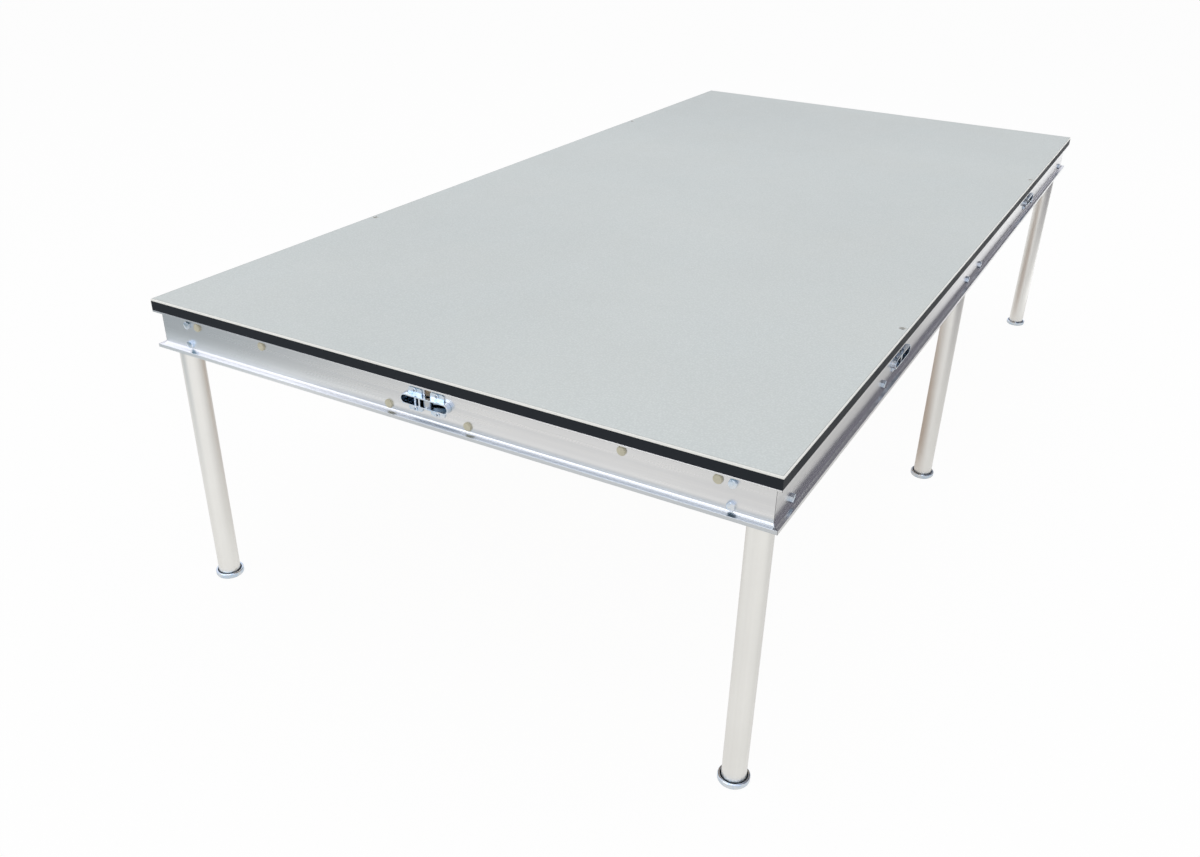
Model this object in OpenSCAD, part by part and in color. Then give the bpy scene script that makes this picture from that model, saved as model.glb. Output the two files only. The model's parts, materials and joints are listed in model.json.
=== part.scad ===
// Modular stage deck on six push-in legs.
// An anti-slip board lies on a mitred frame of extruded aluminium rails. Tube legs push up into
// clamping sockets behind the rails, and hook locks in the webs draw one deck to the next.
// Millimetres, +Z up, origin on the floor under the middle of the deck.

/* [Deck board] */
// Length of the deck, along X
deck_l = 2440; // [1830:10:3050]
// Width of the deck, along Y
deck_w = 1220; // [915:5:1525]
// Height of the deck's top above the floor
stage_h = 610; // [400:10:1000]
// Thickness of the anti-slip top sheet
sheet_t = 4; // [2:0.5:6]
// Thickness of the plywood core
core_t = 18; // [12:1:24]
// Thickness of the black band round the core's edge
band_t = 2; // [1:0.5:3]
// Chamfer round the rim of the top sheet
rim_c = 1.5; // [0.5:0.5:1.5]

/* [Frame rails] */
// Height of the rail extrusion
rail_h = 72; // [72:1:90]
// How far the two outer lips stand out from the web
lip_w = 10.5; // [10:0.5:14]
// Thickness of the web
web_t = 3; // [3:0.5:5]
// Thickness of the top flange under the board
flange_t = 3; // [2.5:0.5:4]
// Thickness of the outer lip at the bottom
lip_t = 6.5; // [5:0.5:8]
// Thickness of the inner flange at the bottom
foot_t = 4; // [3:0.5:5]
// Width of the inner flanges, past the web
inner_w = 16.5; // [16:0.5:20]
// Radius where the web runs into the bottom lip
lip_r = 6.5; // [4:0.5:9]
// Radius in the other corners of the profile
inner_r = 2; // [1:0.5:3]

/* [Legs] */
// Outer diameter of the leg tube
leg_d = 42.4; // [38:0.1:48]
// Wall of the leg tube
leg_wall = 3.2; // [2.5:0.1:4]
// Radial clearance of the leg in its socket
leg_fit = 0.08; // [0.04:0.02:0.1]
// Wall of the socket round the leg
socket_wall = 3.2; // [3:0.1:6]
// Thickness of the socket's wings, behind the webs
wing_t = 8; // [6:0.5:10]
// Thickness of the stop above the leg
stop_t = 5; // [4:0.5:8]
// Width of the slot that lets the socket close on the leg
slot_w = 2.5; // [2:0.5:4]
// Thickness of each clamping ear
ear_t = 8; // [7:0.5:9]
// Distance from the deck's edge to the bolts beside a corner leg
bolt_inset = 75.5; // [75:0.5:85]
// Distance from a middle leg to the bolts on its two sides
mid_bolt = 60; // [58:1:80]

/* [Feet] */
// Outer diameter of the foot cup
foot_d = 55.2; // [54:0.2:70]
// Height of the foot cup
foot_h = 11.5; // [10:0.5:14]
// Thickness of the foot cup's floor
foot_floor = 3; // [2.5:0.5:5]
// Wall of the foot cup
foot_wall = 3.4; // [2:0.2:3.4]
// Diameter of the levelling stud
stud_d = 16; // [12:1:18]
// Length of the stud above the cup's floor
stud_l = 62; // [50:1:80]
// Height of the threaded plug in the leg
plug_h = 34; // [25:1:40]
// Radial clearance of the stud in its plug
stud_fit = 0.05; // [0.02:0.01:0.08]

/* [Locks] */
// Width of a lock along the rail
lock_w = 95; // [90:1:105]
// Height of the lock's housing
lock_h = 18; // [16:0.5:20]
// Wall of the housing
lock_wall = 2; // [1.5:0.5:2]
// Depth of the housing, front to back
lock_depth = 41; // [41:0.5:48]
// How far the housing's front stays behind the deck's edge
lock_back = 0.8; // [0.5:0.1:2]
// Height of the lock's centre below the rail's top
lock_drop = 30; // [30:0.5:32]
// Offset of the hook's pivot from the middle of the lock
hub_x = 2; // [1:0.5:3]
// Distance of the pivot from the deck's edge
hub_inset = 11; // [11:0.5:12]
// Diameter of the hook's hub
hub_d = 16; // [15:0.5:16]
// Diameter of the journals that turn in the housing
journal_d = 13; // [11:0.5:13]
// Radial clearance of the journals
journal_fit = 0.05; // [0.02:0.01:0.08]
// Width across flats of the key socket
key_af = 8; // [6:0.5:8]
// Thickness of the hook
hook_t = 8; // [6:0.5:8]
// Thickness of the hook's claw
claw_t = 4.6; // [3.5:0.1:4.6]
// Distance of the catch pin from the middle of the lock
catch_x = 24; // [23:0.5:25]
// Diameter of the catch pin
catch_d = 5; // [4:0.5:5]
// Diameter of the key holes in the board
key_hole_d = 12; // [11:0.5:13]
// Thickness of the lock's screw tabs
tab_t = 2.5; // [2:0.5:3]
// Width of a screw tab
tab_w = 27; // [24:1:30]
// Distance of the screws from the middle of the lock, along the rail
lock_screw_x = 22; // [21:0.5:24]
// Distance of the screws above and below the middle of the lock
lock_screw_z = 16.5; // [15.5:0.5:17]

/* [Bearers] */
// Width of a bearer tube
bearer_w = 40; // [34:1:42]
// Height of a bearer tube
bearer_h = 60; // [50:1:62]
// Wall of a bearer tube
bearer_wall = 3; // [2:0.5:4]
// Distance from the middle of a side lock to the bearer's rail bolt
bearer_bolt = 85; // [82:1:120]
// Leg of the angle cleats
cleat_w = 40; // [36:1:50]
// Thickness of the angle cleats
cleat_t = 4; // [3:0.5:6]

/* [Fasteners] */
// Diameter of the hexagon bolts
bolt_d = 8; // [6:1:8]
// Width across flats of the bolt heads and nuts
head_af = 13; // [12:0.5:14]
// Height of a bolt head
head_h = 5.3; // [4:0.1:6]
// Height of a nut
nut_h = 6.5; // [5:0.5:7]
// Height of the upper row of bolts below the rail's top
row_high = 16; // [14:0.5:18]
// Height of the lower row of bolts below the rail's top
row_low = 53; // [51:0.5:55]
// Diameter of the spare holes above the lower bolts
spare_d = 5; // [3:0.5:6]
// Diameter of the buffer buttons on the end rails
buffer_d = 15.5; // [14:0.5:18]
// How far the buffer buttons stand out
buffer_t = 3; // [2:0.5:5]

/* [Hidden] */
$fn = 64;

hair = 0.2;                                   // gap between pieces that bolt up beside each other
seat = 0.3;                                   // gap between a leg and its foot at rest
relief = inner_r + 0.5;                       // chamfer that clears the rounded corners of a rail
key_gap = 0.5;                                // how far the rails' key holes stay clear of the keys' bore
over = 1;                                     // how far a cutter runs past a face
head_d = head_af / cos(30);                   // bolt heads and nuts, across corners
bolt_hole = bolt_d + 0.6;                     // clearance hole for a bolt
rail_top = stage_h - sheet_t - core_t;        // underside of the board
rail_bottom = rail_top - rail_h;
web_out = lip_w;                              // outer face of the web, from the deck's edge
web_in = lip_w + web_t;                       // inner face of the web
flange_in = web_in + inner_w;                 // inner edge of the flanges
bore_r = leg_d / 2 + leg_fit;                 // bore of the leg sockets
boss_r = bore_r + socket_wall;
leg_inset = web_in + boss_r;                  // leg axis, from the deck's edge
socket_bottom = rail_bottom + foot_t;
socket_h = rail_h - foot_t - flange_t;
leg_top = rail_top - flange_t - stop_t;
leg_bottom = foot_floor + seat;
ear_l = head_d + 7;                           // reach of the clamping ears past the boss
clamp_x = boss_r + ear_l / 2 + 1;             // clamp bolt, from the leg's axis
clamp_z = socket_bottom + socket_h / 2;
wing_reach = bolt_inset + 12;                 // end of a corner socket's wings
mid_reach = mid_bolt + 12;                    // end of a middle socket's wings
pad_y = leg_inset + boss_r + 3.5;             // back of a middle socket's block
cheek_l = 30;                                 // length of the cheeks that hold the bearer
wing_floor = 3;                               // metal left under the clamp nut's pocket
lock_z = rail_top - lock_drop;                // middle of the locks
lock_x = deck_l / 4;                          // side locks, from the middle of the deck
hook_r = norm([catch_x - hub_x, 2 * hub_inset]); // pivot to the next deck's catch pin
claw_in = hook_r + catch_d / 2 + 0.4;         // inside of the claw
claw_out = claw_in + claw_t;
bearer_x = lock_x + bearer_bolt + (cleat_w + cleat_t) / 2 + bearer_w / 2;
cleat_h = rail_h - foot_t - flange_t - 15;    // height of the cleats
cleat_z = socket_bottom + 4;                  // bottom of the cleats
cross_z = cleat_z + cleat_h - 18;             // bolts through the bearers
cross_y = web_in + cleat_t + (cleat_w - cleat_t) / 2;
saddle_y = pad_y + cheek_l / 2;               // bolts through the middle bearer
screw_r = 2.2;                                // deck screws
screw_hole = screw_r + 0.1;
screw_grip = min(12, core_t - 4);             // how far the deck screws go into the core
screw_y = web_in + inner_w / 2;
side_screws = [-360, -210, -60, 60, 210, 360]; // deck screws each side of a side lock
end_screws = [110, 260, 410];                 // deck screws from the deck's corner, on the ends
buffer_high = [99, 254];                      // upper buffers, from the deck's corner
buffer_low = 79;                              // lower buffers, from the middle of the end
stem_d = 7.8;                                 // stem of a buffer, through the web

// Leg places: [end, side] as -1, 0 or 1 along X and Y
legs = [[-1, -1], [0, -1], [1, -1], [-1, 1], [0, 1], [1, 1]];
// Lock places: [side of the deck, offset along that side]; sides count from the front
// anticlockwise, and +x on a side runs to the right for someone facing it from outside
locks = [[0, -lock_x], [0, lock_x], [2, lock_x], [2, -lock_x], [3, 0], [1, 0]];

function half(side) = (side % 2 == 0 ? deck_w : deck_l) / 2;
function run(side) = (side % 2 == 0 ? deck_l : deck_w);

// Frame of one side: x along it, y inwards from the deck's edge, z up from the floor
module on_side(side) {
    rotate([0, 0, 90 * side]) translate([0, -half(side), 0]) children();
}

// Frame of one corner: x and y both inwards from the deck's edges
module on_corner(place) {
    translate([place[0] * deck_l / 2, place[1] * deck_w / 2, 0])
        mirror([place[0] > 0 ? 1 : 0, 0, 0]) mirror([0, place[1] > 0 ? 1 : 0, 0]) children();
}

module at_leg(i) {
    translate([
        legs[i][0] * (deck_l / 2 - leg_inset),
        legs[i][1] * (deck_w / 2 - leg_inset), 0
    ]) children();
}

module at_lock(i) {
    on_side(locks[i][0]) translate([locks[i][1], 0, lock_z]) children();
}

// Cylinder along +Y from the origin
module rod_y(d, l) {
    rotate([-90, 0, 0]) cylinder(d = d, h = l);
}

// Hexagon bolt through a stack: its head's underside is at the origin, its shank runs along +Y
module hex_bolt(grip) {
    rotate([90, 0, 0]) cylinder(d = head_d, h = head_h, $fn = 6);
    rotate([90, 0, 0]) cylinder(d = head_af - 1, h = head_h + 0.4);
    rod_y(bolt_d, grip + nut_h + 2);
}

module hex_nut(grip) {
    translate([0, grip, 0]) difference() {
        rotate([-90, 0, 0]) cylinder(d = head_d, h = nut_h, $fn = 6);
        translate([0, -over, 0]) rod_y(bolt_d + 0.1, nut_h + 2 * over);
    }
}

// ---- Board ----

module chamfer_outline(span, t, c) {
    polygon([
        [-span / 2, 0], [span / 2, 0], [span / 2, t - c],
        [span / 2 - c, t], [-span / 2 + c, t], [-span / 2, t - c]
    ]);
}

module key_holes(d, z0, z1) {
    for (i = [0 : len(locks) - 1])
        on_side(locks[i][0]) translate([locks[i][1] + hub_x, hub_inset, z0])
            cylinder(d = d, h = z1 - z0);
}

module deck_sheet() {
    color([0.76, 0.79, 0.78]) difference() {
        translate([0, 0, stage_h - sheet_t]) intersection() {
            rotate([90, 0, 90]) translate([0, 0, -deck_l / 2])
                linear_extrude(deck_l) chamfer_outline(deck_w, sheet_t, rim_c);
            rotate([90, 0, 0]) translate([0, 0, -deck_w / 2])
                linear_extrude(deck_w) chamfer_outline(deck_l, sheet_t, rim_c);
        }
        key_holes(key_hole_d, stage_h - sheet_t - over, stage_h + over);
    }
}

module screw_places() {
    for (side = [0, 2], s = [-1, 1], x = side_screws)
        on_side(side) translate([s * lock_x + x, screw_y, rail_top]) children();
    for (side = [1, 3], s = [-1, 1], x = end_screws)
        on_side(side) translate([s * (half(side + 1) - x), screw_y, rail_top]) children();
}

module deck_core() {
    color([0.72, 0.55, 0.36]) difference() {
        translate([-deck_l / 2 + band_t, -deck_w / 2 + band_t, rail_top])
            cube([deck_l - 2 * band_t, deck_w - 2 * band_t, core_t]);
        key_holes(key_hole_d, rail_top - over, stage_h);
        screw_places() translate([0, 0, -over]) cylinder(r = screw_hole, h = screw_grip + over + 0.5);
    }
}

// Two full-length strips on the long sides, two between them on the ends
module edge_band() {
    color([0.13, 0.14, 0.16]) for (side = [0 : 3]) {
        l = run(side) - (side % 2 == 0 ? 0 : 2 * band_t);
        on_side(side) translate([-l / 2, 0, rail_top]) cube([l, band_t, core_t]);
    }
}

// Flush caps in the two key holes of the short ends
module key_hole_plugs() {
    color([0.70, 0.73, 0.72]) for (i = [4, 5])
        on_side(locks[i][0]) translate([locks[i][1] + hub_x, hub_inset, stage_h - sheet_t - 4])
            cylinder(d = key_hole_d - 0.1, h = sheet_t + 4);
}

// Pan-head screws, up through the top flange into the core
module deck_screws() {
    color([0.75, 0.76, 0.78]) screw_places() {
        translate([0, 0, -flange_t - 2.2]) cylinder(r = 4, h = 2.2);
        translate([0, 0, -flange_t]) cylinder(r = screw_r, h = flange_t + screw_grip);
    }
}

// ---- Rails ----

// Fills the corner at the origin, between the +x and +y directions, with a concave radius
module fillet(r) {
    difference() {
        translate([-0.01, -0.01]) square(r + 0.01);
        translate([r, r]) circle(r);
    }
}

// Section of the rail: x inwards from the deck's edge, y down from the board
module rail_outline() {
    translate([0, -flange_t]) square([flange_in, flange_t]);
    translate([web_out, -rail_h]) square([web_t, rail_h]);
    translate([0, -rail_h]) square([web_in, lip_t]);
    translate([web_out, -rail_h]) square([flange_in - web_out, foot_t]);
    translate([web_out, lip_t - rail_h]) mirror([1, 0]) fillet(lip_r);
    translate([web_out, -flange_t]) rotate(180) fillet(inner_r);
    translate([web_in, -flange_t]) mirror([0, 1]) fillet(inner_r);
    translate([web_in, foot_t - rail_h]) fillet(inner_r);
}

// Trapezium that cuts both ends of a rail at 45 degrees
module mitre(side) {
    far = flange_in + over;
    a = run(side) / 2;
    translate([0, 0, rail_bottom - over]) linear_extrude(rail_h + 2 * over)
        polygon([[-a, 0], [a, 0], [a - far, far], [-a + far, far]]);
}

// Outline of a lock's body: a bar with two round ends, lying along x
module stadium(w, h) {
    square([w - h, h], center = true);
    for (s = [-1, 1]) translate([s * (w - h) / 2, 0]) circle(d = h);
}

module stadium_bar(w, h, y0, y1) {
    translate([0, y1, 0]) rotate([90, 0, 0]) linear_extrude(y1 - y0) stadium(w, h);
}

// Everything that one lock needs out of its rail
module lock_cut() {
    stadium_bar(lock_w + 2 * hair, lock_h + 2 * hair, 0, web_in + over);
    slot = key_af / cos(30) + 0.8;
    translate([hub_x - slot / 2, web_out - over, 0]) cube([slot, web_t + 2 * over, lock_drop - flange_t]);
    translate([hub_x, hub_inset, 0]) cylinder(d = key_hole_d + 2 * key_gap, h = lock_drop + over);
    for (x = [-1, 1], z = [-1, 1])
        translate([x * lock_screw_x, web_out - over, z * lock_screw_z]) rod_y(3.9, web_t + 2 * over);
}

// Hole through the web, faced round its mouth where the web runs out into the lip
module bolt_cut(x, drop, d, face = head_d + 1) {
    translate([x, web_out - lip_r, rail_top - drop]) {
        rod_y(d, web_t + lip_r + over);
        rod_y(face, lip_r);
    }
}

module rail(side) {
    long_side = side % 2 == 0;
    a = half(side + 1);
    color([0.80, 0.81, 0.82]) on_side(side) difference() {
        intersection() {
            translate([-a, 0, rail_top]) rotate([90, 0, 90]) linear_extrude(2 * a) rail_outline();
            mitre(side);
        }
        for (s = [-1, 1]) {
            translate([s * (a - leg_inset), leg_inset, rail_bottom - over])
                cylinder(r = bore_r + 1, h = foot_t + inner_r + over);
            bolt_cut(s * (a - bolt_inset), row_low, bolt_hole);
            bolt_cut(s * (a - bolt_inset), row_high, long_side ? spare_d : bolt_hole);
        }
        if (long_side) {
            translate([0, leg_inset, rail_bottom - over])
                cylinder(r = bore_r + 1, h = foot_t + inner_r + over);
            for (s = [-1, 1]) {
                bolt_cut(s * mid_bolt, row_low, bolt_hole);
                bolt_cut(s * mid_bolt, row_high, spare_d);
                bolt_cut(s * (lock_x + bearer_bolt), row_low, bolt_hole);
                translate([s * lock_x, 0, lock_z]) lock_cut();
                for (x = side_screws) translate([s * lock_x + x, screw_y, rail_top - flange_t - over])
                    cylinder(r = screw_hole, h = flange_t + 2 * over);
            }
        } else {
            translate([0, 0, lock_z]) lock_cut();
            for (s = [-1, 1]) {
                for (x = buffer_high) bolt_cut(s * (a - x), row_high, stem_d + hair, buffer_d + 1);
                bolt_cut(s * buffer_low, row_low, stem_d + hair, buffer_d + 1);
                for (x = end_screws) translate([s * (a - x), screw_y, rail_top - flange_t - over])
                    cylinder(r = screw_hole, h = flange_t + 2 * over);
            }
        }
    }
}

// Nylon buttons that keep the end webs from marking each other
module web_buffers() {
    color([0.72, 0.70, 0.60]) for (side = [1, 3], s = [-1, 1]) on_side(side) {
        for (x = buffer_high) translate([s * (half(side + 1) - x), web_out, rail_top - row_high]) buffer();
        translate([s * buffer_low, web_out, rail_top - row_low]) buffer();
    }
}

module buffer() {
    translate([0, -buffer_t + 1, 0]) rod_y(buffer_d, buffer_t - 1);
    translate([0, -buffer_t, 0]) rod_y(buffer_d - 2, buffer_t);
    rod_y(stem_d, web_t + 1.5);
}

// ---- Bearers ----

module tube_bar(l) {
    difference() {
        translate([-bearer_w / 2, -l / 2, rail_top - bearer_h]) cube([bearer_w, l, bearer_h]);
        translate([bearer_wall - bearer_w / 2, -l / 2 - over, rail_top - bearer_h + bearer_wall])
            cube([bearer_w - 2 * bearer_wall, l + 2 * over, bearer_h - 2 * bearer_wall]);
    }
}

// Bearer between the long rails; its ends are coped to pass under the top flanges
module side_bearer(s) {
    l = deck_w - 2 * (web_in + hair);
    color([0.78, 0.79, 0.80]) translate([s * bearer_x, 0, 0]) difference() {
        tube_bar(l);
        for (side = [0, 2]) rotate([0, 0, 90 * side]) {
            translate([-bearer_w, -deck_w / 2, rail_top - flange_t - hair])
                cube([2 * bearer_w, flange_in + hair, flange_t + hair + over]);
            translate([-bearer_w, -deck_w / 2, rail_top - flange_t - relief])
                cube([2 * bearer_w, web_in + relief, flange_t + relief + over]);
        }
        for (side = [0, 2]) rotate([0, 0, 90 * side])
            translate([-bearer_w, cross_y - deck_w / 2, cross_z]) rotate([0, 90, 0])
                cylinder(d = bolt_hole, h = 2 * bearer_w);
    }
}

module middle_bearer() {
    color([0.78, 0.79, 0.80]) difference() {
        tube_bar(deck_w - 2 * (pad_y + hair));
        for (side = [0, 2]) rotate([0, 0, 90 * side])
            translate([-bearer_w, saddle_y - deck_w / 2, cross_z]) rotate([0, 90, 0])
                cylinder(d = bolt_hole, h = 2 * bearer_w);
    }
}

// Each cleat lies in the corner between a rail's web and the side of a bearer
module cleat_places() {
    for (side = [0, 2], s = [0, 1])
        on_side(side) mirror([s, 0, 0]) translate([bearer_w / 2 - bearer_x, web_in, 0]) children();
}

module bearer_cleats() {
    color([0.74, 0.75, 0.77]) cleat_places() difference() {
        translate([0, 0, cleat_z]) union() {
            cube([cleat_w, cleat_t, cleat_h]);
            cube([cleat_t, cleat_w, cleat_h]);
        }
        translate([(cleat_w + cleat_t) / 2, -over, rail_top - row_low]) rod_y(bolt_hole, cleat_t + 2 * over);
        translate([-over, cross_y - web_in, cross_z]) rotate([0, 90, 0])
            cylinder(d = bolt_hole, h = cleat_t + 2 * over);
    }
}

// Places of the bearers' bolts, with their shanks along +Y
module rail_bolt_places() {
    cleat_places() translate([(cleat_w + cleat_t) / 2, -web_t, rail_top - row_low]) children();
}

module cross_bolt_places() {
    cleat_places() translate([cleat_t, cross_y - web_in, cross_z]) rotate([0, 0, 90]) children();
}

module saddle_bolt_places() {
    for (side = [0, 2]) on_side(side)
        translate([boss_r, saddle_y, cross_z]) rotate([0, 0, 90]) children();
}

module bearer_bolts() {
    color([0.78, 0.82, 0.88]) {
        rail_bolt_places() hex_bolt(web_t + cleat_t);
        cross_bolt_places() hex_bolt(cleat_t + bearer_w);
        saddle_bolt_places() hex_bolt(2 * boss_r);
    }
}

module bearer_nuts() {
    color([0.70, 0.74, 0.80]) {
        rail_bolt_places() hex_nut(web_t + cleat_t);
        cross_bolt_places() hex_nut(cleat_t + bearer_w);
        saddle_bolt_places() hex_nut(2 * boss_r);
    }
}

// ---- Leg sockets ----

// Boss, ears and slot of a clamping socket, drawn round the leg's axis with the ears along +x
module clamp_outline() {
    circle(boss_r);
    translate([0, -ear_t - slot_w / 2]) square([boss_r + ear_l, 2 * ear_t + slot_w]);
}

module clamp_slot() {
    translate([0, -slot_w / 2]) square([boss_r + ear_l + over, slot_w]);
}

// Cutter along x that chamfers a socket where it meets a rail's web and flanges
module rail_relief(x0, x1) {
    for (z = [socket_bottom, socket_bottom + socket_h]) translate([x0, web_in, z]) rotate([45, 0, 0])
        translate([0, -relief / sqrt(2), -relief / sqrt(2)])
            cube([x1 - x0, relief * sqrt(2), relief * sqrt(2)]);
}

module socket_body(ear_angle) {
    difference() {
        translate([0, 0, socket_bottom]) linear_extrude(socket_h) children(0);
        translate([leg_inset, leg_inset, 0]) rotate([0, 0, ear_angle]) {
            translate([0, 0, socket_bottom - over]) linear_extrude(socket_h + 2 * over) clamp_slot();
            translate([0, 0, socket_bottom - over]) cylinder(r = bore_r, h = socket_h - stop_t + over);
            translate([clamp_x, -ear_t - slot_w, clamp_z]) rod_y(bolt_hole, 2 * (ear_t + slot_w));
        }
        children(1);
    }
}

// Block in the corner of the frame, with a wing behind each web
module corner_socket(i) {
    color([0.70, 0.71, 0.73]) on_corner(legs[i]) socket_body(45) {
        union() {
            translate([web_in, web_in]) square(leg_inset - web_in);
            translate([web_in, web_in]) square([wing_t, wing_reach - web_in]);
            translate([web_in, web_in]) square([wing_reach - web_in, wing_t]);
            translate([leg_inset, leg_inset]) rotate(45) clamp_outline();
        }
        union() {
            for (drop = [row_high, row_low]) translate([web_in - over, bolt_inset, rail_top - drop])
                rotate([0, 90, 0]) cylinder(d = bolt_hole, h = wing_t + 2 * over);
            translate([bolt_inset, web_in - over, rail_top - row_low]) rod_y(bolt_hole, wing_t + 2 * over);
            translate([bolt_inset, web_in - over, rail_top - row_high]) rod_y(spare_d, wing_t + 2 * over);
            for (m = [0, 1]) mirror([m, -m, 0]) rail_relief(web_in - over, wing_reach + over);
        }
    }
}

// Block behind a long rail, with two wings and a saddle that holds the middle bearer
module middle_socket(i) {
    cheek_t = boss_r - bearer_w / 2 - hair;
    color([0.70, 0.71, 0.73]) on_side(legs[i][1] < 0 ? 0 : 2)
        translate([-leg_inset, 0, 0]) socket_body(0) {
            translate([leg_inset, 0]) {
                translate([-mid_reach, web_in]) square([2 * mid_reach, wing_t]);
                translate([-boss_r, web_in]) square([2 * boss_r, pad_y - web_in]);
                for (s = [0, 1]) mirror([s, 0]) translate([boss_r - cheek_t, pad_y - over])
                    square([cheek_t, cheek_l + over]);
                translate([0, leg_inset]) clamp_outline();
            }
            translate([leg_inset, 0, 0]) {
                for (s = [-1, 1]) {
                    translate([s * mid_bolt, web_in - over, rail_top - row_low])
                        rod_y(bolt_hole, wing_t + 2 * over);
                    translate([s * mid_bolt, web_in - over, rail_top - row_high])
                        rod_y(spare_d, wing_t + 2 * over);
                }
                translate([-boss_r - over, saddle_y, cross_z]) rotate([0, 90, 0])
                    cylinder(d = bolt_hole, h = 2 * (boss_r + over));
                translate([clamp_x, web_in + wing_floor, clamp_z]) rod_y(head_d + 2, wing_t);
                rail_relief(-mid_reach - over, mid_reach + over);
            }
        }
}

// Places of the bolts that hold the sockets to the webs, with their shanks along +Y
module socket_bolt_places() {
    for (place = legs) {
        if (place[0] == 0)
            on_side(place[1] < 0 ? 0 : 2) for (s = [-1, 1])
                translate([s * mid_bolt, web_out, rail_top - row_low]) children();
        else on_corner(place) {
            translate([bolt_inset, web_out, rail_top - row_low]) children();
            for (drop = [row_high, row_low]) mirror([1, -1, 0])
                translate([bolt_inset, web_out, rail_top - drop]) children();
        }
    }
}

module socket_bolts() {
    color([0.78, 0.82, 0.88]) socket_bolt_places() hex_bolt(web_t + wing_t);
}

module socket_nuts() {
    color([0.70, 0.74, 0.80]) socket_bolt_places() hex_nut(web_t + wing_t);
}

module clamp_places() {
    for (place = legs) {
        if (place[0] == 0)
            on_side(place[1] < 0 ? 0 : 2) translate([0, leg_inset, 0])
                translate([clamp_x, ear_t + slot_w / 2, clamp_z]) rotate([0, 0, 180]) children();
        else on_corner(place) translate([leg_inset, leg_inset, 0]) rotate([0, 0, 45])
                translate([clamp_x, ear_t + slot_w / 2, clamp_z]) rotate([0, 0, 180]) children();
    }
}

module clamp_bolts() {
    color([0.78, 0.82, 0.88]) clamp_places() hex_bolt(2 * ear_t + slot_w);
}

module clamp_nuts() {
    color([0.70, 0.74, 0.80]) clamp_places() hex_nut(2 * ear_t + slot_w);
}

// ---- Legs and feet ----

module leg(i) {
    color([0.86, 0.86, 0.85]) at_leg(i) translate([0, 0, leg_bottom]) difference() {
        cylinder(d = leg_d, h = leg_top - leg_bottom);
        translate([0, 0, -over])
            cylinder(d = leg_d - 2 * leg_wall, h = leg_top - leg_bottom + 2 * over);
    }
}

// Threaded plug in the bottom of a leg
module leg_plug(i) {
    color([0.60, 0.62, 0.65]) at_leg(i) translate([0, 0, leg_bottom]) difference() {
        cylinder(d = leg_d - 2 * leg_wall - 0.06, h = plug_h);
        translate([0, 0, -over]) cylinder(r = stud_d / 2 + stud_fit, h = plug_h + 2 * over);
    }
}

// Half section of the foot cup and its stud
module foot_outline() {
    r = foot_d / 2;
    top_r = foot_wall / 2;
    low_r = foot_h / 3;
    difference() {
        union() {
            square([r - low_r, foot_h - top_r]);
            translate([r - low_r, low_r]) circle(low_r);
            translate([r - low_r, low_r]) square([low_r, foot_h - top_r - low_r]);
            translate([r - top_r, foot_h - top_r]) circle(top_r);
        }
        translate([-over, foot_floor]) square([r - foot_wall + over, foot_h]);
    }
    square([stud_d / 2 - 1, foot_floor + stud_l]);
    square([stud_d / 2, foot_floor + stud_l - 1]);
}

module foot(i) {
    color([0.72, 0.77, 0.82]) at_leg(i) rotate_extrude() foot_outline();
}

// ---- Locks ----

// One screw tab, centred on its screws' line and rooted in the housing
module screw_tab(s) {
    r = 4;
    top = lock_screw_z + 4;
    translate([s * lock_screw_x, web_out, 0]) rotate([90, 0, 0]) linear_extrude(tab_t)
        for (m = [0, 1]) mirror([0, m]) {
            translate([-tab_w / 2, lock_h / 2 - lock_wall]) square([tab_w, top - r - lock_h / 2 + lock_wall]);
            translate([r - tab_w / 2, top - r - over]) square([tab_w - 2 * r, r + over]);
            for (x = [-1, 1]) translate([x * (tab_w / 2 - r), top - r]) circle(r);
        }
}

// Housing: a round-ended cup with its mouth outwards, parted between the hook and the catch
module lock_housing(i) {
    back = lock_back + lock_depth;
    part_x = hub_x - hub_d / 2 - 2 - 3;
    part_w = 3;
    color([0.74, 0.78, 0.83]) at_lock(i) difference() {
        union() {
            difference() {
                stadium_bar(lock_w, lock_h, lock_back, back);
                stadium_bar(lock_w - 2 * lock_wall, lock_h - 2 * lock_wall, lock_back - over, back - lock_wall);
            }
            translate([part_x, lock_back + 1, -lock_h / 2 + lock_wall / 2])
                cube([part_w, lock_depth - 2, lock_h - lock_wall]);
            for (s = [-1, 1]) difference() {
                screw_tab(s);
                stadium_bar(lock_w - lock_wall, lock_h - lock_wall, 0, back);
            }
        }
        translate([hub_x, hub_inset, -lock_h]) cylinder(r = journal_d / 2 + journal_fit, h = 2 * lock_h);
        translate([-catch_x, hub_inset, -lock_h]) cylinder(d = catch_d, h = 2 * lock_h);
        for (x = [-1, 1], z = [-1, 1]) translate([x * lock_screw_x, 0, z * lock_screw_z]) rod_y(4.1, web_out);
    }
}

// Hook seen from above, parked along +x: an arm that ends in a claw open to the front
module hook_outline() {
    root = 42;                                // the arm's back edge, degrees behind +x
    mouth = 24;                               // the bottom of the claw's slot
    reach = 2 * claw_out;
    intersection() {
        difference() {
            circle(claw_out);
            intersection() {
                difference() {
                    circle(claw_in);
                    circle(hub_d / 2);
                }
                rotate(mouth) translate([0, -reach]) square([reach, reach]);
            }
        }
        union() {
            polygon([[0, 0], [reach, 0], [reach * cos(root), reach * sin(root)]]);
            circle(hub_d / 2);
        }
    }
    circle(hub_d / 2);
}

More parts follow.
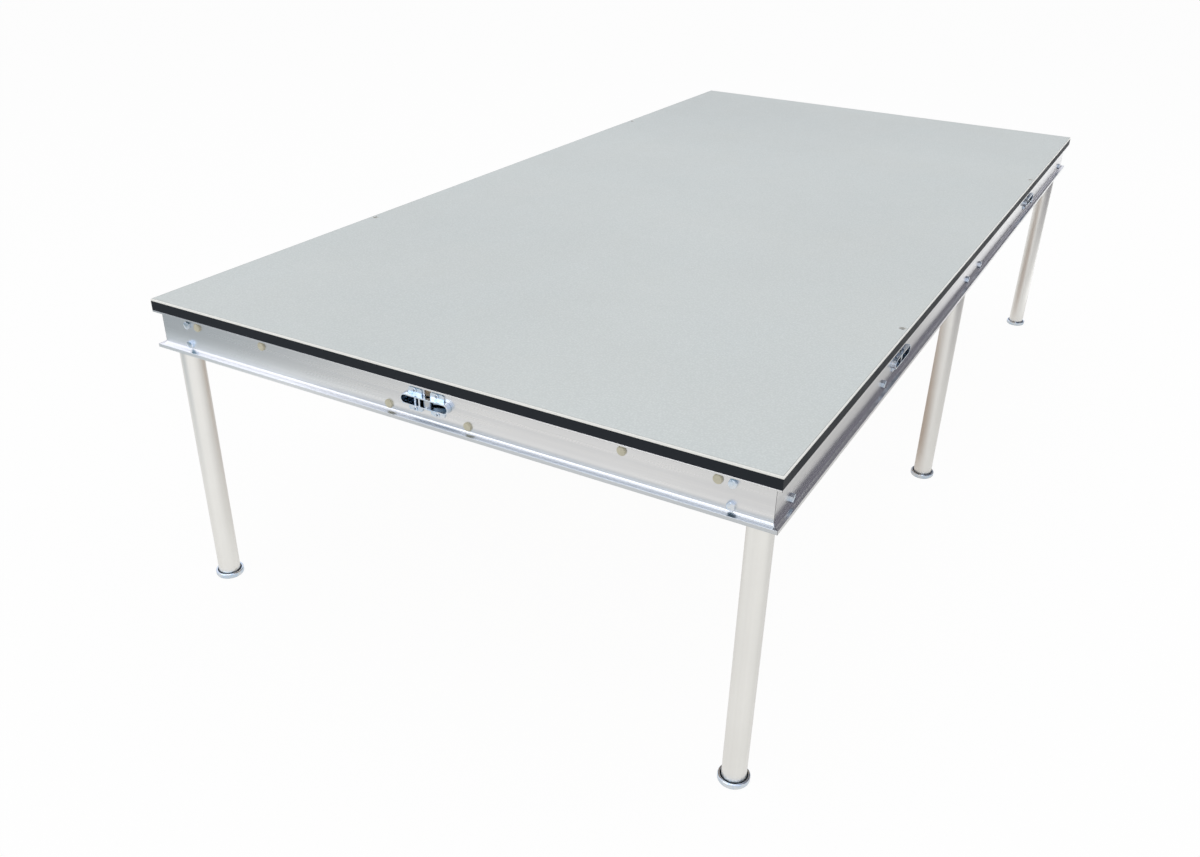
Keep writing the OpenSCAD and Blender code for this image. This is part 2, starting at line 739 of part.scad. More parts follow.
module lock_hook(i) {
    play = 0.3;
    color([0.55, 0.62, 0.70]) at_lock(i) translate([hub_x, hub_inset, 0]) difference() {
        union() {
            translate([0, 0, -hook_t / 2]) linear_extrude(hook_t) hook_outline();
            translate([0, 0, lock_wall + play - lock_h / 2])
                cylinder(d = hub_d, h = lock_h - 2 * (lock_wall + play));
            translate([0, 0, -lock_h / 2]) cylinder(d = journal_d, h = lock_h);
        }
        translate([0, 0, -lock_h]) cylinder(d = key_af / cos(30), h = 2 * lock_h, $fn = 6);
    }
}

// Upright pins that the next deck's hooks draw on
module catch_pins() {
    color([0.80, 0.82, 0.85]) for (i = [0 : len(locks) - 1])
        at_lock(i) translate([-catch_x, hub_inset, -lock_h / 2]) cylinder(d = catch_d - 0.06, h = lock_h);
}

module lock_screws() {
    color([0.82, 0.84, 0.86]) for (i = [0 : len(locks) - 1], x = [-1, 1], z = [-1, 1])
        at_lock(i) translate([x * lock_screw_x, web_out - tab_t, z * lock_screw_z]) {
            translate([0, -2, 0]) rod_y(7.2, 2);
            rod_y(3.8, tab_t + web_t + 2);
        }
}

// ---- Nodes ----

deck_sheet();
deck_core();
edge_band();
key_hole_plugs();
rail(0);  // front_rail
rail(1);  // right_rail
rail(2);  // back_rail
rail(3);  // left_rail
side_bearer(-1);  // left_bearer
middle_bearer();
side_bearer(1);  // right_bearer
bearer_cleats();
bearer_bolts();
bearer_nuts();
deck_screws();
web_buffers();
corner_socket(0);  // front_left_socket
middle_socket(1);  // front_middle_socket
corner_socket(2);  // front_right_socket
corner_socket(3);  // back_left_socket
middle_socket(4);  // back_middle_socket
corner_socket(5);  // back_right_socket
socket_bolts();
socket_nuts();
clamp_bolts();
clamp_nuts();
leg(0);  // front_left_leg
leg(1);  // front_middle_leg
leg(2);  // front_right_leg
leg(3);  // back_left_leg
leg(4);  // back_middle_leg
leg(5);  // back_right_leg
leg_plug(0);  // front_left_plug
leg_plug(1);  // front_middle_plug
leg_plug(2);  // front_right_plug
leg_plug(3);  // back_left_plug
leg_plug(4);  // back_middle_plug
leg_plug(5);  // back_right_plug
foot(0);  // front_left_foot
foot(1);  // front_middle_foot
foot(2);  // front_right_foot
foot(3);  // back_left_foot
foot(4);  // back_middle_foot
foot(5);  // back_right_foot
lock_housing(0);  // front_left_lock
lock_housing(1);  // front_right_lock
lock_housing(2);  // back_left_lock
lock_housing(3);  // back_right_lock
lock_housing(4);  // left_end_lock
lock_housing(5);  // right_end_lock
lock_hook(0);  // front_left_hook
lock_hook(1);  // front_right_hook
lock_hook(2);  // back_left_hook
lock_hook(3);  // back_right_hook
lock_hook(4);  // left_end_hook
lock_hook(5);  // right_end_hook
catch_pins();
lock_screws();
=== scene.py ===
import json
import math

import bmesh
import bpy
import numpy as np
from mathutils import Matrix, Vector


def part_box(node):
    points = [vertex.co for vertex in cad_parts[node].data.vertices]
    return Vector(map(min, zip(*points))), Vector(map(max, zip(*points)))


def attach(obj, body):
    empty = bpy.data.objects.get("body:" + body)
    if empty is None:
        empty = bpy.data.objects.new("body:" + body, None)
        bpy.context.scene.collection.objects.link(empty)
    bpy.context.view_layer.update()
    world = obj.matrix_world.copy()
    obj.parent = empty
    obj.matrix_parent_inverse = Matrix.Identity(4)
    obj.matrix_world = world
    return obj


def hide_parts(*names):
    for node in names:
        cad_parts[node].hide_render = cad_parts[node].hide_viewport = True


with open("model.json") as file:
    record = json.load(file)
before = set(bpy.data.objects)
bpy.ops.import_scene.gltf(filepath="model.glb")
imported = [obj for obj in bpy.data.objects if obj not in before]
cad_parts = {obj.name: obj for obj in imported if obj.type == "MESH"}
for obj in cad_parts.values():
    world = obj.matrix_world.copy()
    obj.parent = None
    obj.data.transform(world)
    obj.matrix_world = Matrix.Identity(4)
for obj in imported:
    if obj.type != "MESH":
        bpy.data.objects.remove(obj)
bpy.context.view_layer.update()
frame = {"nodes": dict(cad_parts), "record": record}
nodes = frame["nodes"]
mm = 0.001
print("frame loaded:", len(nodes), "nodes")

places = ["front_left", "front_middle", "front_right", "back_left", "back_middle", "back_right"]
deckLow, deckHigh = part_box("deck_sheet")


# Shader building blocks

def fill(tree, socket, value):
    if isinstance(value, bpy.types.NodeSocket):
        tree.links.new(value, socket)
    elif value is not None:
        socket.default_value = value


def add(tree, kind, inputs=None, **props):
    node = tree.nodes.new("ShaderNode" + kind)
    for key, value in props.items():
        setattr(node, key, value)
    for key, value in (inputs or {}).items():
        fill(tree, node.inputs[key], value)
    return node


def calc(tree, operation, a, b=None, c=None, clamp=False):
    return add(tree, "Math", {0: a, 1: b, 2: c}, operation=operation, use_clamp=clamp).outputs[0]


def vectorCalc(tree, operation, a, b=None):
    node = add(tree, "VectorMath", {0: a, 1: b}, operation=operation)
    return node.outputs["Value"] if operation in ("DOT_PRODUCT", "LENGTH") else node.outputs["Vector"]


def remap(tree, value, low, high, toLow=0.0, toHigh=1.0):
    node = add(tree, "MapRange", {"Value": value, "From Min": low, "From Max": high,
                                  "To Min": toLow, "To Max": toHigh})
    return node.outputs["Result"]


def noise(tree, vector, scale, detail=2.0, roughness=0.5):
    return add(tree, "TexNoise", {"Vector": vector, "Scale": scale, "Detail": detail,
                                  "Roughness": roughness}).outputs["Fac"]


def blendColors(tree, factor, first, second):
    node = add(tree, "Mix", data_type="RGBA")
    fill(tree, node.inputs["Factor"], factor)
    fill(tree, node.inputs[6], first)
    fill(tree, node.inputs[7], second)
    return node.outputs[2]


def newGroup(name, inputs, outputs):
    tree = bpy.data.node_groups.new(name, "ShaderNodeTree")
    for label, kind, value in inputs:
        socket = tree.interface.new_socket(label, in_out="INPUT", socket_type="NodeSocket" + kind)
        if value is not None:
            socket.default_value = value
    for label, kind in outputs:
        tree.interface.new_socket(label, in_out="OUTPUT", socket_type="NodeSocket" + kind)
    return tree, tree.nodes.new("NodeGroupInput").outputs, tree.nodes.new("NodeGroupOutput").inputs


def useGroup(tree, group, inputs):
    node = add(tree, "Group", node_tree=group)
    for key, value in inputs.items():
        fill(tree, node.inputs[key], value)
    return node.outputs


# Shared effects

def edgeWearGroup():  # rounded edges, and a mask of the metal that rubbing has bared on them
    tree, ins, outs = newGroup(
        "edgeWear",
        [("Vector", "Vector", None), ("Radius", "Float", 0.0006), ("Gain", "Float", 3.0),
         ("Breakup", "Float", 60.0)],
        [("Mask", "Float"), ("Normal", "Vector")])
    rounded = add(tree, "Bevel", {"Radius": ins["Radius"]}, samples=4).outputs["Normal"]
    flat = add(tree, "NewGeometry").outputs["Normal"]
    turned = calc(tree, "SUBTRACT", 1.0, vectorCalc(tree, "DOT_PRODUCT", rounded, flat))
    patches = remap(tree, noise(tree, ins["Vector"], ins["Breakup"], 3.0), 0.35, 0.7)
    mask = calc(tree, "MULTIPLY", calc(tree, "MULTIPLY", turned, ins["Gain"]), patches, clamp=True)
    tree.links.new(mask, outs["Mask"])
    tree.links.new(rounded, outs["Normal"])
    return tree


def drawnGrainGroup():  # fine lines that drawing or extruding leaves along a piece
    tree, ins, outs = newGroup(
        "drawnGrain",
        [("Vector", "Vector", None), ("Stretch", "Vector", (3.0, 500.0, 500.0))],
        [("Fine", "Float"), ("Broad", "Float")])
    stretched = vectorCalc(tree, "MULTIPLY", ins["Vector"], ins["Stretch"])
    fine = noise(tree, stretched, 2.0, 3.0, 0.6)
    broad = noise(tree, stretched, 0.16, 2.0)
    tree.links.new(remap(tree, fine, 0.3, 0.7), outs["Fine"])
    tree.links.new(remap(tree, broad, 0.3, 0.7), outs["Broad"])
    return tree


def dustGroup():  # dust on faces that look up
    tree, ins, outs = newGroup(
        "dust",
        [("Vector", "Vector", None), ("Scale", "Float", 8.0), ("Amount", "Float", 0.2)],
        [("Mask", "Float")])
    up = add(tree, "SeparateXYZ", {0: add(tree, "NewGeometry").outputs["Normal"]}).outputs["Z"]
    lying = remap(tree, up, 0.3, 0.9)
    patches = remap(tree, noise(tree, ins["Vector"], ins["Scale"], 5.0, 0.65), 0.35, 0.75)
    mask = calc(tree, "MULTIPLY", calc(tree, "MULTIPLY", lying, patches), ins["Amount"], clamp=True)
    tree.links.new(mask, outs["Mask"])
    return tree


def recessShadeGroup():  # a mask of hollows and inner corners, where little light comes, for painted shade
    tree, ins, outs = newGroup(
        "recessShadeMask", [("Reach", "Float", 0.012), ("Start", "Float", 0.55), ("End", "Float", 0.15)],
        [("Mask", "Float")])
    clear = add(tree, "AmbientOcclusion", {"Distance": ins["Reach"]}, samples=8).outputs["AO"]
    tree.links.new(remap(tree, clear, ins["Start"], ins["End"]), outs["Mask"])
    return tree


def antiSlipGroup():  # small pressed nubs of uneven size
    tree, ins, outs = newGroup(
        "antiSlip",
        [("Vector", "Vector", None), ("Nubs", "Float", 260.0), ("Jitter", "Float", 0.8)],
        [("Height", "Float")])
    cells = add(tree, "TexVoronoi", {"Vector": ins["Vector"], "Scale": ins["Nubs"],
                                     "Randomness": ins["Jitter"]}).outputs["Distance"]
    nub = remap(tree, cells, 0.15, 0.62, 1.0, 0.0)
    uneven = remap(tree, noise(tree, ins["Vector"], 95.0, 3.0, 0.65), 0.3, 0.7, 0.35, 1.0)
    tree.links.new(calc(tree, "MULTIPLY", nub, uneven), outs["Height"])
    return tree


edgeWear = edgeWearGroup()
drawnGrain = drawnGrainGroup()
dust = dustGroup()
recessShadeMask = recessShadeGroup()
antiSlip = antiSlipGroup()
print("shader groups ready")


# Finishes

def startMaterial(name, plain):
    material = bpy.data.materials.new(name)
    material.use_nodes = True
    tree = material.node_tree
    shader = tree.nodes["Principled BSDF"]
    for key, value in plain.items():
        shader.inputs[key].default_value = value
    place = add(tree, "TexCoord").outputs["Object"]
    return material, tree, shader, place


def bump(tree, height, distance, strength, normal=None):
    return add(tree, "Bump", {"Height": height, "Distance": distance, "Strength": strength,
                              "Normal": normal}).outputs["Normal"]


sheetLook = {
    "field": (0.604, 0.646, 0.648, 1), "nub": (0.694, 0.738, 0.740, 1), "rim": (0.95, 0.95, 0.92, 1),
    "line": (0.36, 0.38, 0.37, 1), "lineInset": 2.0 * mm, "lineWidth": 0.9 * mm, "lineStrength": 0.85,
    "dustColor": (0.64, 0.64, 0.61, 1), "dust": {"Scale": 3.0, "Amount": 0.18}, "drift": (0.97, 1.03),
    "nubs": 260.0, "nubDepth": 0.25 * mm, "worn": {"Radius": 0.5 * mm, "Gain": 0.0},
    "roughness": 0.62, "scuffs": (-0.06, 0.10), "rimSmoother": 0.3,
    "gloss": {"IOR": 1.42, "Specular IOR Level": 0.45},
}


def sheetMaterial():
    look = sheetLook
    material, tree, shader, place = startMaterial("antiSlipSheet", look["gloss"])
    nubs = useGroup(tree, antiSlip, {"Vector": place, "Nubs": look["nubs"]})
    away = add(tree, "SeparateXYZ", {0: vectorCalc(tree, "ABSOLUTE", place)}).outputs
    inEnds = calc(tree, "SUBTRACT", deckHigh.x, away["X"])
    inSides = calc(tree, "SUBTRACT", deckHigh.y, away["Y"])
    inset = calc(tree, "MINIMUM", inEnds, inSides)  # distance from the deck's edge
    up = add(tree, "SeparateXYZ", {0: add(tree, "NewGeometry").outputs["True Normal"]}).outputs["Z"]
    edge = calc(tree, "LESS_THAN", up, 0.9)  # the sheet's cut edge and its chamfer
    line = calc(tree, "COMPARE", inset, look["lineInset"], look["lineWidth"] / 2)
    drift = remap(tree, noise(tree, place, 1.3, 2.0), 0.3, 0.7, *look["drift"])
    color = blendColors(tree, nubs["Height"], look["field"], look["nub"])
    scaled = vectorCalc(tree, "SCALE", color)
    fill(tree, scaled.node.inputs["Scale"], drift)
    film = useGroup(tree, dust, {"Vector": place, **look["dust"]})
    color = blendColors(tree, film["Mask"], scaled, look["dustColor"])
    color = blendColors(tree, calc(tree, "MULTIPLY", line, look["lineStrength"]), color, look["line"])
    color = blendColors(tree, edge, color, look["rim"])
    fill(tree, shader.inputs["Base Color"], color)
    scuffs = remap(tree, noise(tree, place, 22.0, 4.0, 0.7), 0.35, 0.75, *look["scuffs"])
    rough = calc(tree, "ADD", scuffs, look["roughness"])
    smoother = calc(tree, "MULTIPLY", edge, look["rimSmoother"])
    fill(tree, shader.inputs["Roughness"], calc(tree, "SUBTRACT", rough, smoother))
    worn = useGroup(tree, edgeWear, {"Vector": place, **look["worn"]})
    field = calc(tree, "MULTIPLY", nubs["Height"], calc(tree, "SUBTRACT", 1.0, edge))
    fill(tree, shader.inputs["Normal"], bump(tree, field, look["nubDepth"], 0.6, worn["Normal"]))
    return material


coreLook = {
    "pale": (0.64, 0.47, 0.29, 1), "dark": (0.42, 0.27, 0.15, 1), "glue": (0.16, 0.10, 0.06, 1),
    # recess: the colour of the painted shade in hollows
    "recess": (0.035, 0.030, 0.026, 1), "hollowShade": {"Reach": 30.0 * mm, "Start": 0.75, "End": 0.35},
    "ply": 1.4 * mm, "glueLine": 0.15 * mm, "grainDepth": 0.15 * mm, "roughness": (0.45, 0.65),
}


def plywoodMaterial():
    look = coreLook
    material, tree, shader, place = startMaterial("plywood", {})
    grain = useGroup(tree, drawnGrain, {"Vector": place, "Stretch": (2.0, 60.0, 60.0)})
    figure = add(tree, "TexWave", {"Vector": vectorCalc(tree, "MULTIPLY", place, (0.25, 2.2, 1.0)),
                                   "Scale": 6.0, "Distortion": 9.0, "Detail": 3.0},
                 bands_direction="Y").outputs["Fac"]
    streak = calc(tree, "MULTIPLY", figure, grain["Fine"])
    face = blendColors(tree, streak, look["pale"], look["dark"])
    height = add(tree, "SeparateXYZ", {0: place}).outputs["Z"]
    layer = calc(tree, "PINGPONG", calc(tree, "SUBTRACT", height, deckLow.z), look["ply"])
    glued = calc(tree, "LESS_THAN", layer, look["glueLine"])
    up = add(tree, "SeparateXYZ", {0: add(tree, "NewGeometry").outputs["Normal"]}).outputs["Z"]
    side = calc(tree, "LESS_THAN", calc(tree, "ABSOLUTE", up), 0.5)
    color = blendColors(tree, calc(tree, "MULTIPLY", glued, side), face, look["glue"])
    hollowShade = useGroup(tree, recessShadeMask, look["hollowShade"])["Mask"]
    # painted shade: the plywood turns near black in its hollows
    fill(tree, shader.inputs["Base Color"], blendColors(tree, hollowShade, color, look["recess"]))
    fill(tree, shader.inputs["Roughness"], remap(tree, grain["Fine"], 0.0, 1.0, *look["roughness"]))
    fill(tree, shader.inputs["Normal"], bump(tree, grain["Fine"], look["grainDepth"], 0.4))
    return material


bandLook = {
    "black": (0.0200, 0.0240, 0.0300, 1), "scuffed": (0.050, 0.050, 0.055, 1), "specular": 0.10,
    "worn": {"Radius": 0.6 * mm, "Gain": 2.2, "Breakup": 45.0}, "peelDepth": 0.05 * mm,
    "roughness": (0.44, 0.60),
}


def bandMaterial():
    look = bandLook
    material, tree, shader, place = startMaterial("edgeBand", {"Specular IOR Level": look["specular"]})
    worn = useGroup(tree, edgeWear, {"Vector": place, **look["worn"]})
    color = blendColors(tree, worn["Mask"], look["black"], look["scuffed"])
    fill(tree, shader.inputs["Base Color"], color)
    orangePeel = noise(tree, place, 900.0, 2.0)
    smear = noise(tree, place, 14.0, 4.0, 0.65)
    fill(tree, shader.inputs["Roughness"], remap(tree, smear, 0.3, 0.7, *look["roughness"]))
    fill(tree, shader.inputs["Normal"], bump(tree, orangePeel, look["peelDepth"], 0.35, worn["Normal"]))
    return material


railLook = {
    "bright": (0.790, 0.794, 0.798, 1), "dull": (0.675, 0.682, 0.700, 1), "bare": (0.83, 0.83, 0.84, 1),
    "seam": (0.06, 0.06, 0.065, 1), "seamWidth": 0.55 * mm, "roughness": (0.22, 0.36),
    "broadShare": 0.45, "cloudShare": 0.35, "fineShare": 0.2, "grainDepth": 0.03 * mm,
    "worn": {"Radius": 1.1 * mm, "Gain": 2.0, "Breakup": 30.0},
}


endRailLook = {  # painted highlight and painted shade on an end rail: heights, and places across the deck, between which each effect grows
    "webHighlight": (0.97, 0.985, 1.0, 1), "webHighlightHeight": (560 * mm, 538 * mm),
    "webHighlightAcross": (-0.1, 0.3), "webHighlightShare": (0.2, 0.85),
    "foldShade": (0.60, 0.63, 0.66, 1), "foldShadeHeight": (536 * mm, 531 * mm), "foldShadeAcross": (0.3, 0.0),
}


def paintWebHighlight(tree, at, color):  # painted highlight: the lower web of an end rail is lighter
    look = endRailLook
    low = calc(tree, "POWER", remap(tree, at["Z"], *look["webHighlightHeight"]), 2.0)
    share = remap(tree, at["Y"], *look["webHighlightAcross"], *look["webHighlightShare"])
    return blendColors(tree, calc(tree, "MULTIPLY", low, share), color, look["webHighlight"])


def paintFoldShade(tree, at, color):  # painted shade: the fold between an end rail's web and its lip is darker
    look = endRailLook
    foldShade = calc(tree, "MULTIPLY", remap(tree, at["Z"], *look["foldShadeHeight"]),
                remap(tree, at["Y"], *look["foldShadeAcross"]))
    return blendColors(tree, foldShade, color, look["foldShade"])


def railMaterial(name, stretch, endRail=False):  # mill-finish extrusion: stretch is small along its length
    look = railLook
    material, tree, shader, place = startMaterial(name, {"Metallic": 1.0})
    grain = useGroup(tree, drawnGrain, {"Vector": place, "Stretch": stretch})
    cloud = remap(tree, noise(tree, place, 2.6, 3.0, 0.6), 0.3, 0.7)
    tone = calc(tree, "ADD", calc(tree, "MULTIPLY", grain["Broad"], look["broadShare"]),
                calc(tree, "MULTIPLY", cloud, look["cloudShare"]), clamp=True)
    tone = calc(tree, "ADD", tone, calc(tree, "MULTIPLY", grain["Fine"], look["fineShare"]), clamp=True)
    worn = useGroup(tree, edgeWear, {"Vector": place, **look["worn"]})
    away = add(tree, "SeparateXYZ", {0: vectorCalc(tree, "ABSOLUTE", place)}).outputs
    offMitre = calc(tree, "SUBTRACT", calc(tree, "SUBTRACT", away["X"], deckHigh.x),
                    calc(tree, "SUBTRACT", away["Y"], deckHigh.y))
    seam = remap(tree, calc(tree, "ABSOLUTE", offMitre), look["seamWidth"] / 2, look["seamWidth"], 1.0, 0.0)
    color = blendColors(tree, tone, look["bright"], look["dull"])
    at = add(tree, "SeparateXYZ", {0: place}).outputs
    # end rails get a painted highlight on the lower web
    if endRail:
        color = paintWebHighlight(tree, at, color)
    color = blendColors(tree, worn["Mask"], color, look["bare"])
    # end rails get painted shade in the fold
    if endRail:
        color = paintFoldShade(tree, at, color)
    fill(tree, shader.inputs["Base Color"], blendColors(tree, seam, color, look["seam"]))
    fill(tree, shader.inputs["Roughness"], remap(tree, tone, 0.0, 1.0, *look["roughness"]))
    fill(tree, shader.inputs["Normal"], bump(tree, grain["Fine"], look["grainDepth"], 0.5, worn["Normal"]))
    return material


tubeLook = {
    "bright": (0.925, 0.925, 0.905, 1), "dull": (0.83, 0.825, 0.80, 1), "roughness": (0.32, 0.46),
    "worn": {"Radius": 0.4 * mm, "Gain": 0.0}, "grainDepth": 0.02 * mm,
}


def tubeMaterial():
    look = tubeLook
    material, tree, shader, place = startMaterial("satinTube", {"Metallic": 1.0})
    grain = useGroup(tree, drawnGrain, {"Vector": place, "Stretch": (420.0, 420.0, 2.5)})
    cloud = remap(tree, noise(tree, place, 5.0, 4.0, 0.6), 0.3, 0.7)
    tone = calc(tree, "MULTIPLY", calc(tree, "ADD", grain["Broad"], cloud), 0.5)
    fill(tree, shader.inputs["Base Color"], blendColors(tree, tone, look["bright"], look["dull"]))
    fill(tree, shader.inputs["Roughness"], remap(tree, tone, 0.0, 1.0, *look["roughness"]))
    worn = useGroup(tree, edgeWear, {"Vector": place, **look["worn"]})
    fill(tree, shader.inputs["Normal"], bump(tree, grain["Fine"], look["grainDepth"], 0.4, worn["Normal"]))
    return material


zincLook = {
    "silver": (0.74, 0.78, 0.83, 1), "blue": (0.52, 0.66, 0.82, 1), "straw": (0.76, 0.75, 0.66, 1),
    # recess: the colour of the painted shade in hollows, tinted with the blue of the passivation
    "recess": (0.035, 0.120, 0.175, 1), "hollowShade": {"Reach": 20.0 * mm, "Start": 0.42, "End": 0.12},
    "strawStrength": 0.55, "stainRougher": 0.16, "spangleDepth": 0.02 * mm,
    "worn": {"Radius": 0.45 * mm, "Gain": 0.0},
}


def zincMaterial(name, darker, roughness):
    look = zincLook
    material, tree, shader, place = startMaterial(name, {"Metallic": 1.0})
    bloom = remap(tree, noise(tree, place, 90.0, 3.0, 0.55), 0.38, 0.66)
    stain = remap(tree, noise(tree, place, 210.0, 4.0, 0.6), 0.52, 0.78)
    shade = [tuple(c * darker for c in look[k][:3]) + (1,) for k in ("silver", "blue", "straw")]
    color = blendColors(tree, bloom, shade[0], shade[1])
    color = blendColors(tree, calc(tree, "MULTIPLY", stain, look["strawStrength"]), color, shade[2])
    hollowShade = useGroup(tree, recessShadeMask, look["hollowShade"])["Mask"]
    # painted shade: the zinc's hollows darken to a deep blue
    fill(tree, shader.inputs["Base Color"], blendColors(tree, hollowShade, color, look["recess"]))
    fill(tree, shader.inputs["Roughness"],
         remap(tree, stain, 0.0, 1.0, roughness, roughness + look["stainRougher"]))
    worn = useGroup(tree, edgeWear, {"Vector": place, **look["worn"]})
    spangle = noise(tree, place, 1400.0, 2.0)
    fill(tree, shader.inputs["Normal"], bump(tree, spangle, look["spangleDepth"], 0.35, worn["Normal"]))
    return material


castLook = {
    "face": (0.62, 0.63, 0.65, 1), "dull": (0.50, 0.51, 0.53, 1), "roughness": (0.34, 0.50),
    "worn": {"Radius": 0.8 * mm, "Gain": 2.0, "Breakup": 40.0}, "grainDepth": 0.04 * mm,
}


def castMaterial():  # machined aluminium blocks, the sockets and plugs
    look = castLook
    material, tree, shader, place = startMaterial("machinedBlock", {"Metallic": 1.0})
    grain = useGroup(tree, drawnGrain, {"Vector": place, "Stretch": (260.0, 260.0, 12.0)})
    worn = useGroup(tree, edgeWear, {"Vector": place, **look["worn"]})
    color = blendColors(tree, grain["Broad"], look["face"], look["dull"])
    fill(tree, shader.inputs["Base Color"], blendColors(tree, worn["Mask"], color, railLook["bare"]))
    fill(tree, shader.inputs["Roughness"], remap(tree, grain["Fine"], 0.0, 1.0, *look["roughness"]))
    fill(tree, shader.inputs["Normal"], bump(tree, grain["Fine"], look["grainDepth"], 0.4, worn["Normal"]))
    return material


plasticLook = {
    "worn": {"Radius": 0.7 * mm, "Gain": 1.6, "Breakup": 90.0}, "soiling": 0.35, "grainDepth": 0.04 * mm,
    "smoother": 0.06, "rougher": 0.10,
}


def plasticMaterial(name, color, soiled, roughness):
    look = plasticLook
    material, tree, shader, place = startMaterial(name, {})
    worn = useGroup(tree, edgeWear, {"Vector": place, **look["worn"]})
    mottle = remap(tree, noise(tree, place, 160.0, 3.0, 0.6), 0.35, 0.7)
    shade = calc(tree, "MAXIMUM", worn["Mask"], calc(tree, "MULTIPLY", mottle, look["soiling"]))
    fill(tree, shader.inputs["Base Color"], blendColors(tree, shade, color, soiled))
    fill(tree, shader.inputs["Roughness"],
         remap(tree, mottle, 0.0, 1.0, roughness - look["smoother"], roughness + look["rougher"]))
    fill(tree, shader.inputs["Normal"],
         bump(tree, noise(tree, place, 1100.0, 2.0), look["grainDepth"], 0.3, worn["Normal"]))
    return material


zinc = zincMaterial("brightZinc", 1.0, 0.17)
darkZinc = zincMaterial("hardenedZinc", 0.72, 0.24)
finishes = {
    "sheet": sheetMaterial(),
    "core": plywoodMaterial(),
    "band": bandMaterial(),
    "tube": tubeMaterial(),
    "casting": castMaterial(),
    "zinc": zinc,
    "zinc_dark": darkZinc,
    "nylon": plasticMaterial("beigeNylon", (0.66, 0.63, 0.49, 1), (0.45, 0.42, 0.31, 1), 0.5),
    "cap": plasticMaterial("greyCap", (0.635, 0.678, 0.678, 1), (0.55, 0.59, 0.59, 1), 0.6),
}
railAlongX = railMaterial("railAlongX", (3.0, 520.0, 520.0))
railAlongY = railMaterial("railAlongY", (520.0, 3.0, 520.0), endRail=True)
alongX = ("front_rail", "back_rail")
print("finishes ready")


def dressNodes():  # every CAD node gets the finish of its slot, with the grain along its length
    slotOf = {row["node"]: row["material_slot"] for row in frame["record"]["subparts"]}
    for name, piece in nodes.items():
        kind = slotOf[name]
        if kind == "extrusion":
            material = railAlongX if name in alongX else railAlongY
        else:
            material = finishes[kind]
        piece.data.materials.clear()
        piece.data.materials.append(material)


dressNodes()
print("nodes dressed")


# Geometry building blocks

def geo(tree, kind, inputs=None, **props):
    node = tree.nodes.new(kind if kind.startswith("Function") else "GeometryNode" + kind)
    for key, value in props.items():
        setattr(node, key, value)
    for key, value in (inputs or {}).items():
        fill(tree, node.inputs[key], value)
    return node.outputs


def triple(tree, x=0.0, y=0.0, z=0.0):
    return add(tree, "CombineXYZ", {0: x, 1: y, 2: z}).outputs[0]


def newGeometryGroup(name, inputs, points=False):
    tree = bpy.data.node_groups.new(name, "GeometryNodeTree")
    if points:
        tree.interface.new_socket("Points", in_out="INPUT", socket_type="NodeSocketGeometry")
    for label, kind, value in inputs:
        socket = tree.interface.new_socket(label, in_out="INPUT", socket_type="NodeSocket" + kind)
        if value is not None:
            socket.default_value = value
    tree.interface.new_socket("Geometry", in_out="OUTPUT", socket_type="NodeSocketGeometry")
    return tree, tree.nodes.new("NodeGroupInput").outputs, tree.nodes.new("NodeGroupOutput").inputs[0]


def useGeometry(tree, group, inputs):
    node = tree.nodes.new("GeometryNodeGroup")
    node.node_tree = group
    for key, value in inputs.items():
        fill(tree, node.inputs[key], value)
    return node.outputs[0]


def moved(tree, geometry, shift=None, turn=None):
    node = tree.nodes.new("GeometryNodeTransform")
    fill(tree, node.inputs["Geometry"], geometry)
    fill(tree, node.inputs["Translation"], shift)
    fill(tree, node.inputs["Rotation"], turn)
    return node.outputs[0]


def joined(tree, *parts):
    node = tree.nodes.new("GeometryNodeJoinGeometry")
    for part in parts:
        tree.links.new(part, node.inputs[0])
    return node.outputs[0]


def cut(tree, operation, first, *others):
    node = tree.nodes.new("GeometryNodeMeshBoolean")
    node.operation = operation
    if operation == "DIFFERENCE":
        tree.links.new(first, node.inputs["Mesh 1"])
    else:
        others = [first, *others]
    for other in others:
        tree.links.new(other, node.inputs["Mesh 2"])
    return node.outputs["Mesh"]


def threadedRodGroup():  # a rod up from the origin with a helical thread and a chamfered tip
    tree, ins, out = newGeometryGroup("threadedRod", [
        ("Diameter", "Float", 0.008), ("Length", "Float", 0.015), ("Pitch", "Float", 0.00125),
        ("Depth", "Float", 0.0007), ("Sides", "Int", 16)])
    rings = calc(tree, "MULTIPLY", calc(tree, "DIVIDE", ins["Length"], ins["Pitch"]), 4.0)
    radius = calc(tree, "DIVIDE", ins["Diameter"], 2.0)
    rod = geo(tree, "MeshCylinder", {"Vertices": ins["Sides"], "Side Segments": rings, "Radius": radius,
                                     "Depth": ins["Length"]})["Mesh"]
    rod = moved(tree, rod, triple(tree, z=calc(tree, "DIVIDE", ins["Length"], 2.0)))
    place = geo(tree, "InputPosition")[0]
    at = add(tree, "SeparateXYZ", {0: place}).outputs
    around = calc(tree, "DIVIDE", calc(tree, "ARCTAN2", at["Y"], at["X"]), 2 * math.pi)
    phase = calc(tree, "ADD", calc(tree, "DIVIDE", at["Z"], ins["Pitch"]), around)
    groove = calc(tree, "MULTIPLY", calc(tree, "PINGPONG", phase, 0.5), 2.0)
    fromTip = calc(tree, "SUBTRACT", ins["Length"], at["Z"])
    tip = calc(tree, "SUBTRACT", 1.3, calc(tree, "DIVIDE", fromTip, ins["Pitch"]))
    deep = calc(tree, "MULTIPLY", calc(tree, "MAXIMUM", groove, tip), ins["Depth"])
    scale = calc(tree, "SUBTRACT", 1.0, calc(tree, "DIVIDE", deep, radius))
    target = triple(tree, calc(tree, "MULTIPLY", at["X"], scale), calc(tree, "MULTIPLY", at["Y"], scale),
                    at["Z"])
    tree.links.new(geo(tree, "SetPosition", {"Geometry": rod, "Position": target})[0], out)
    return tree


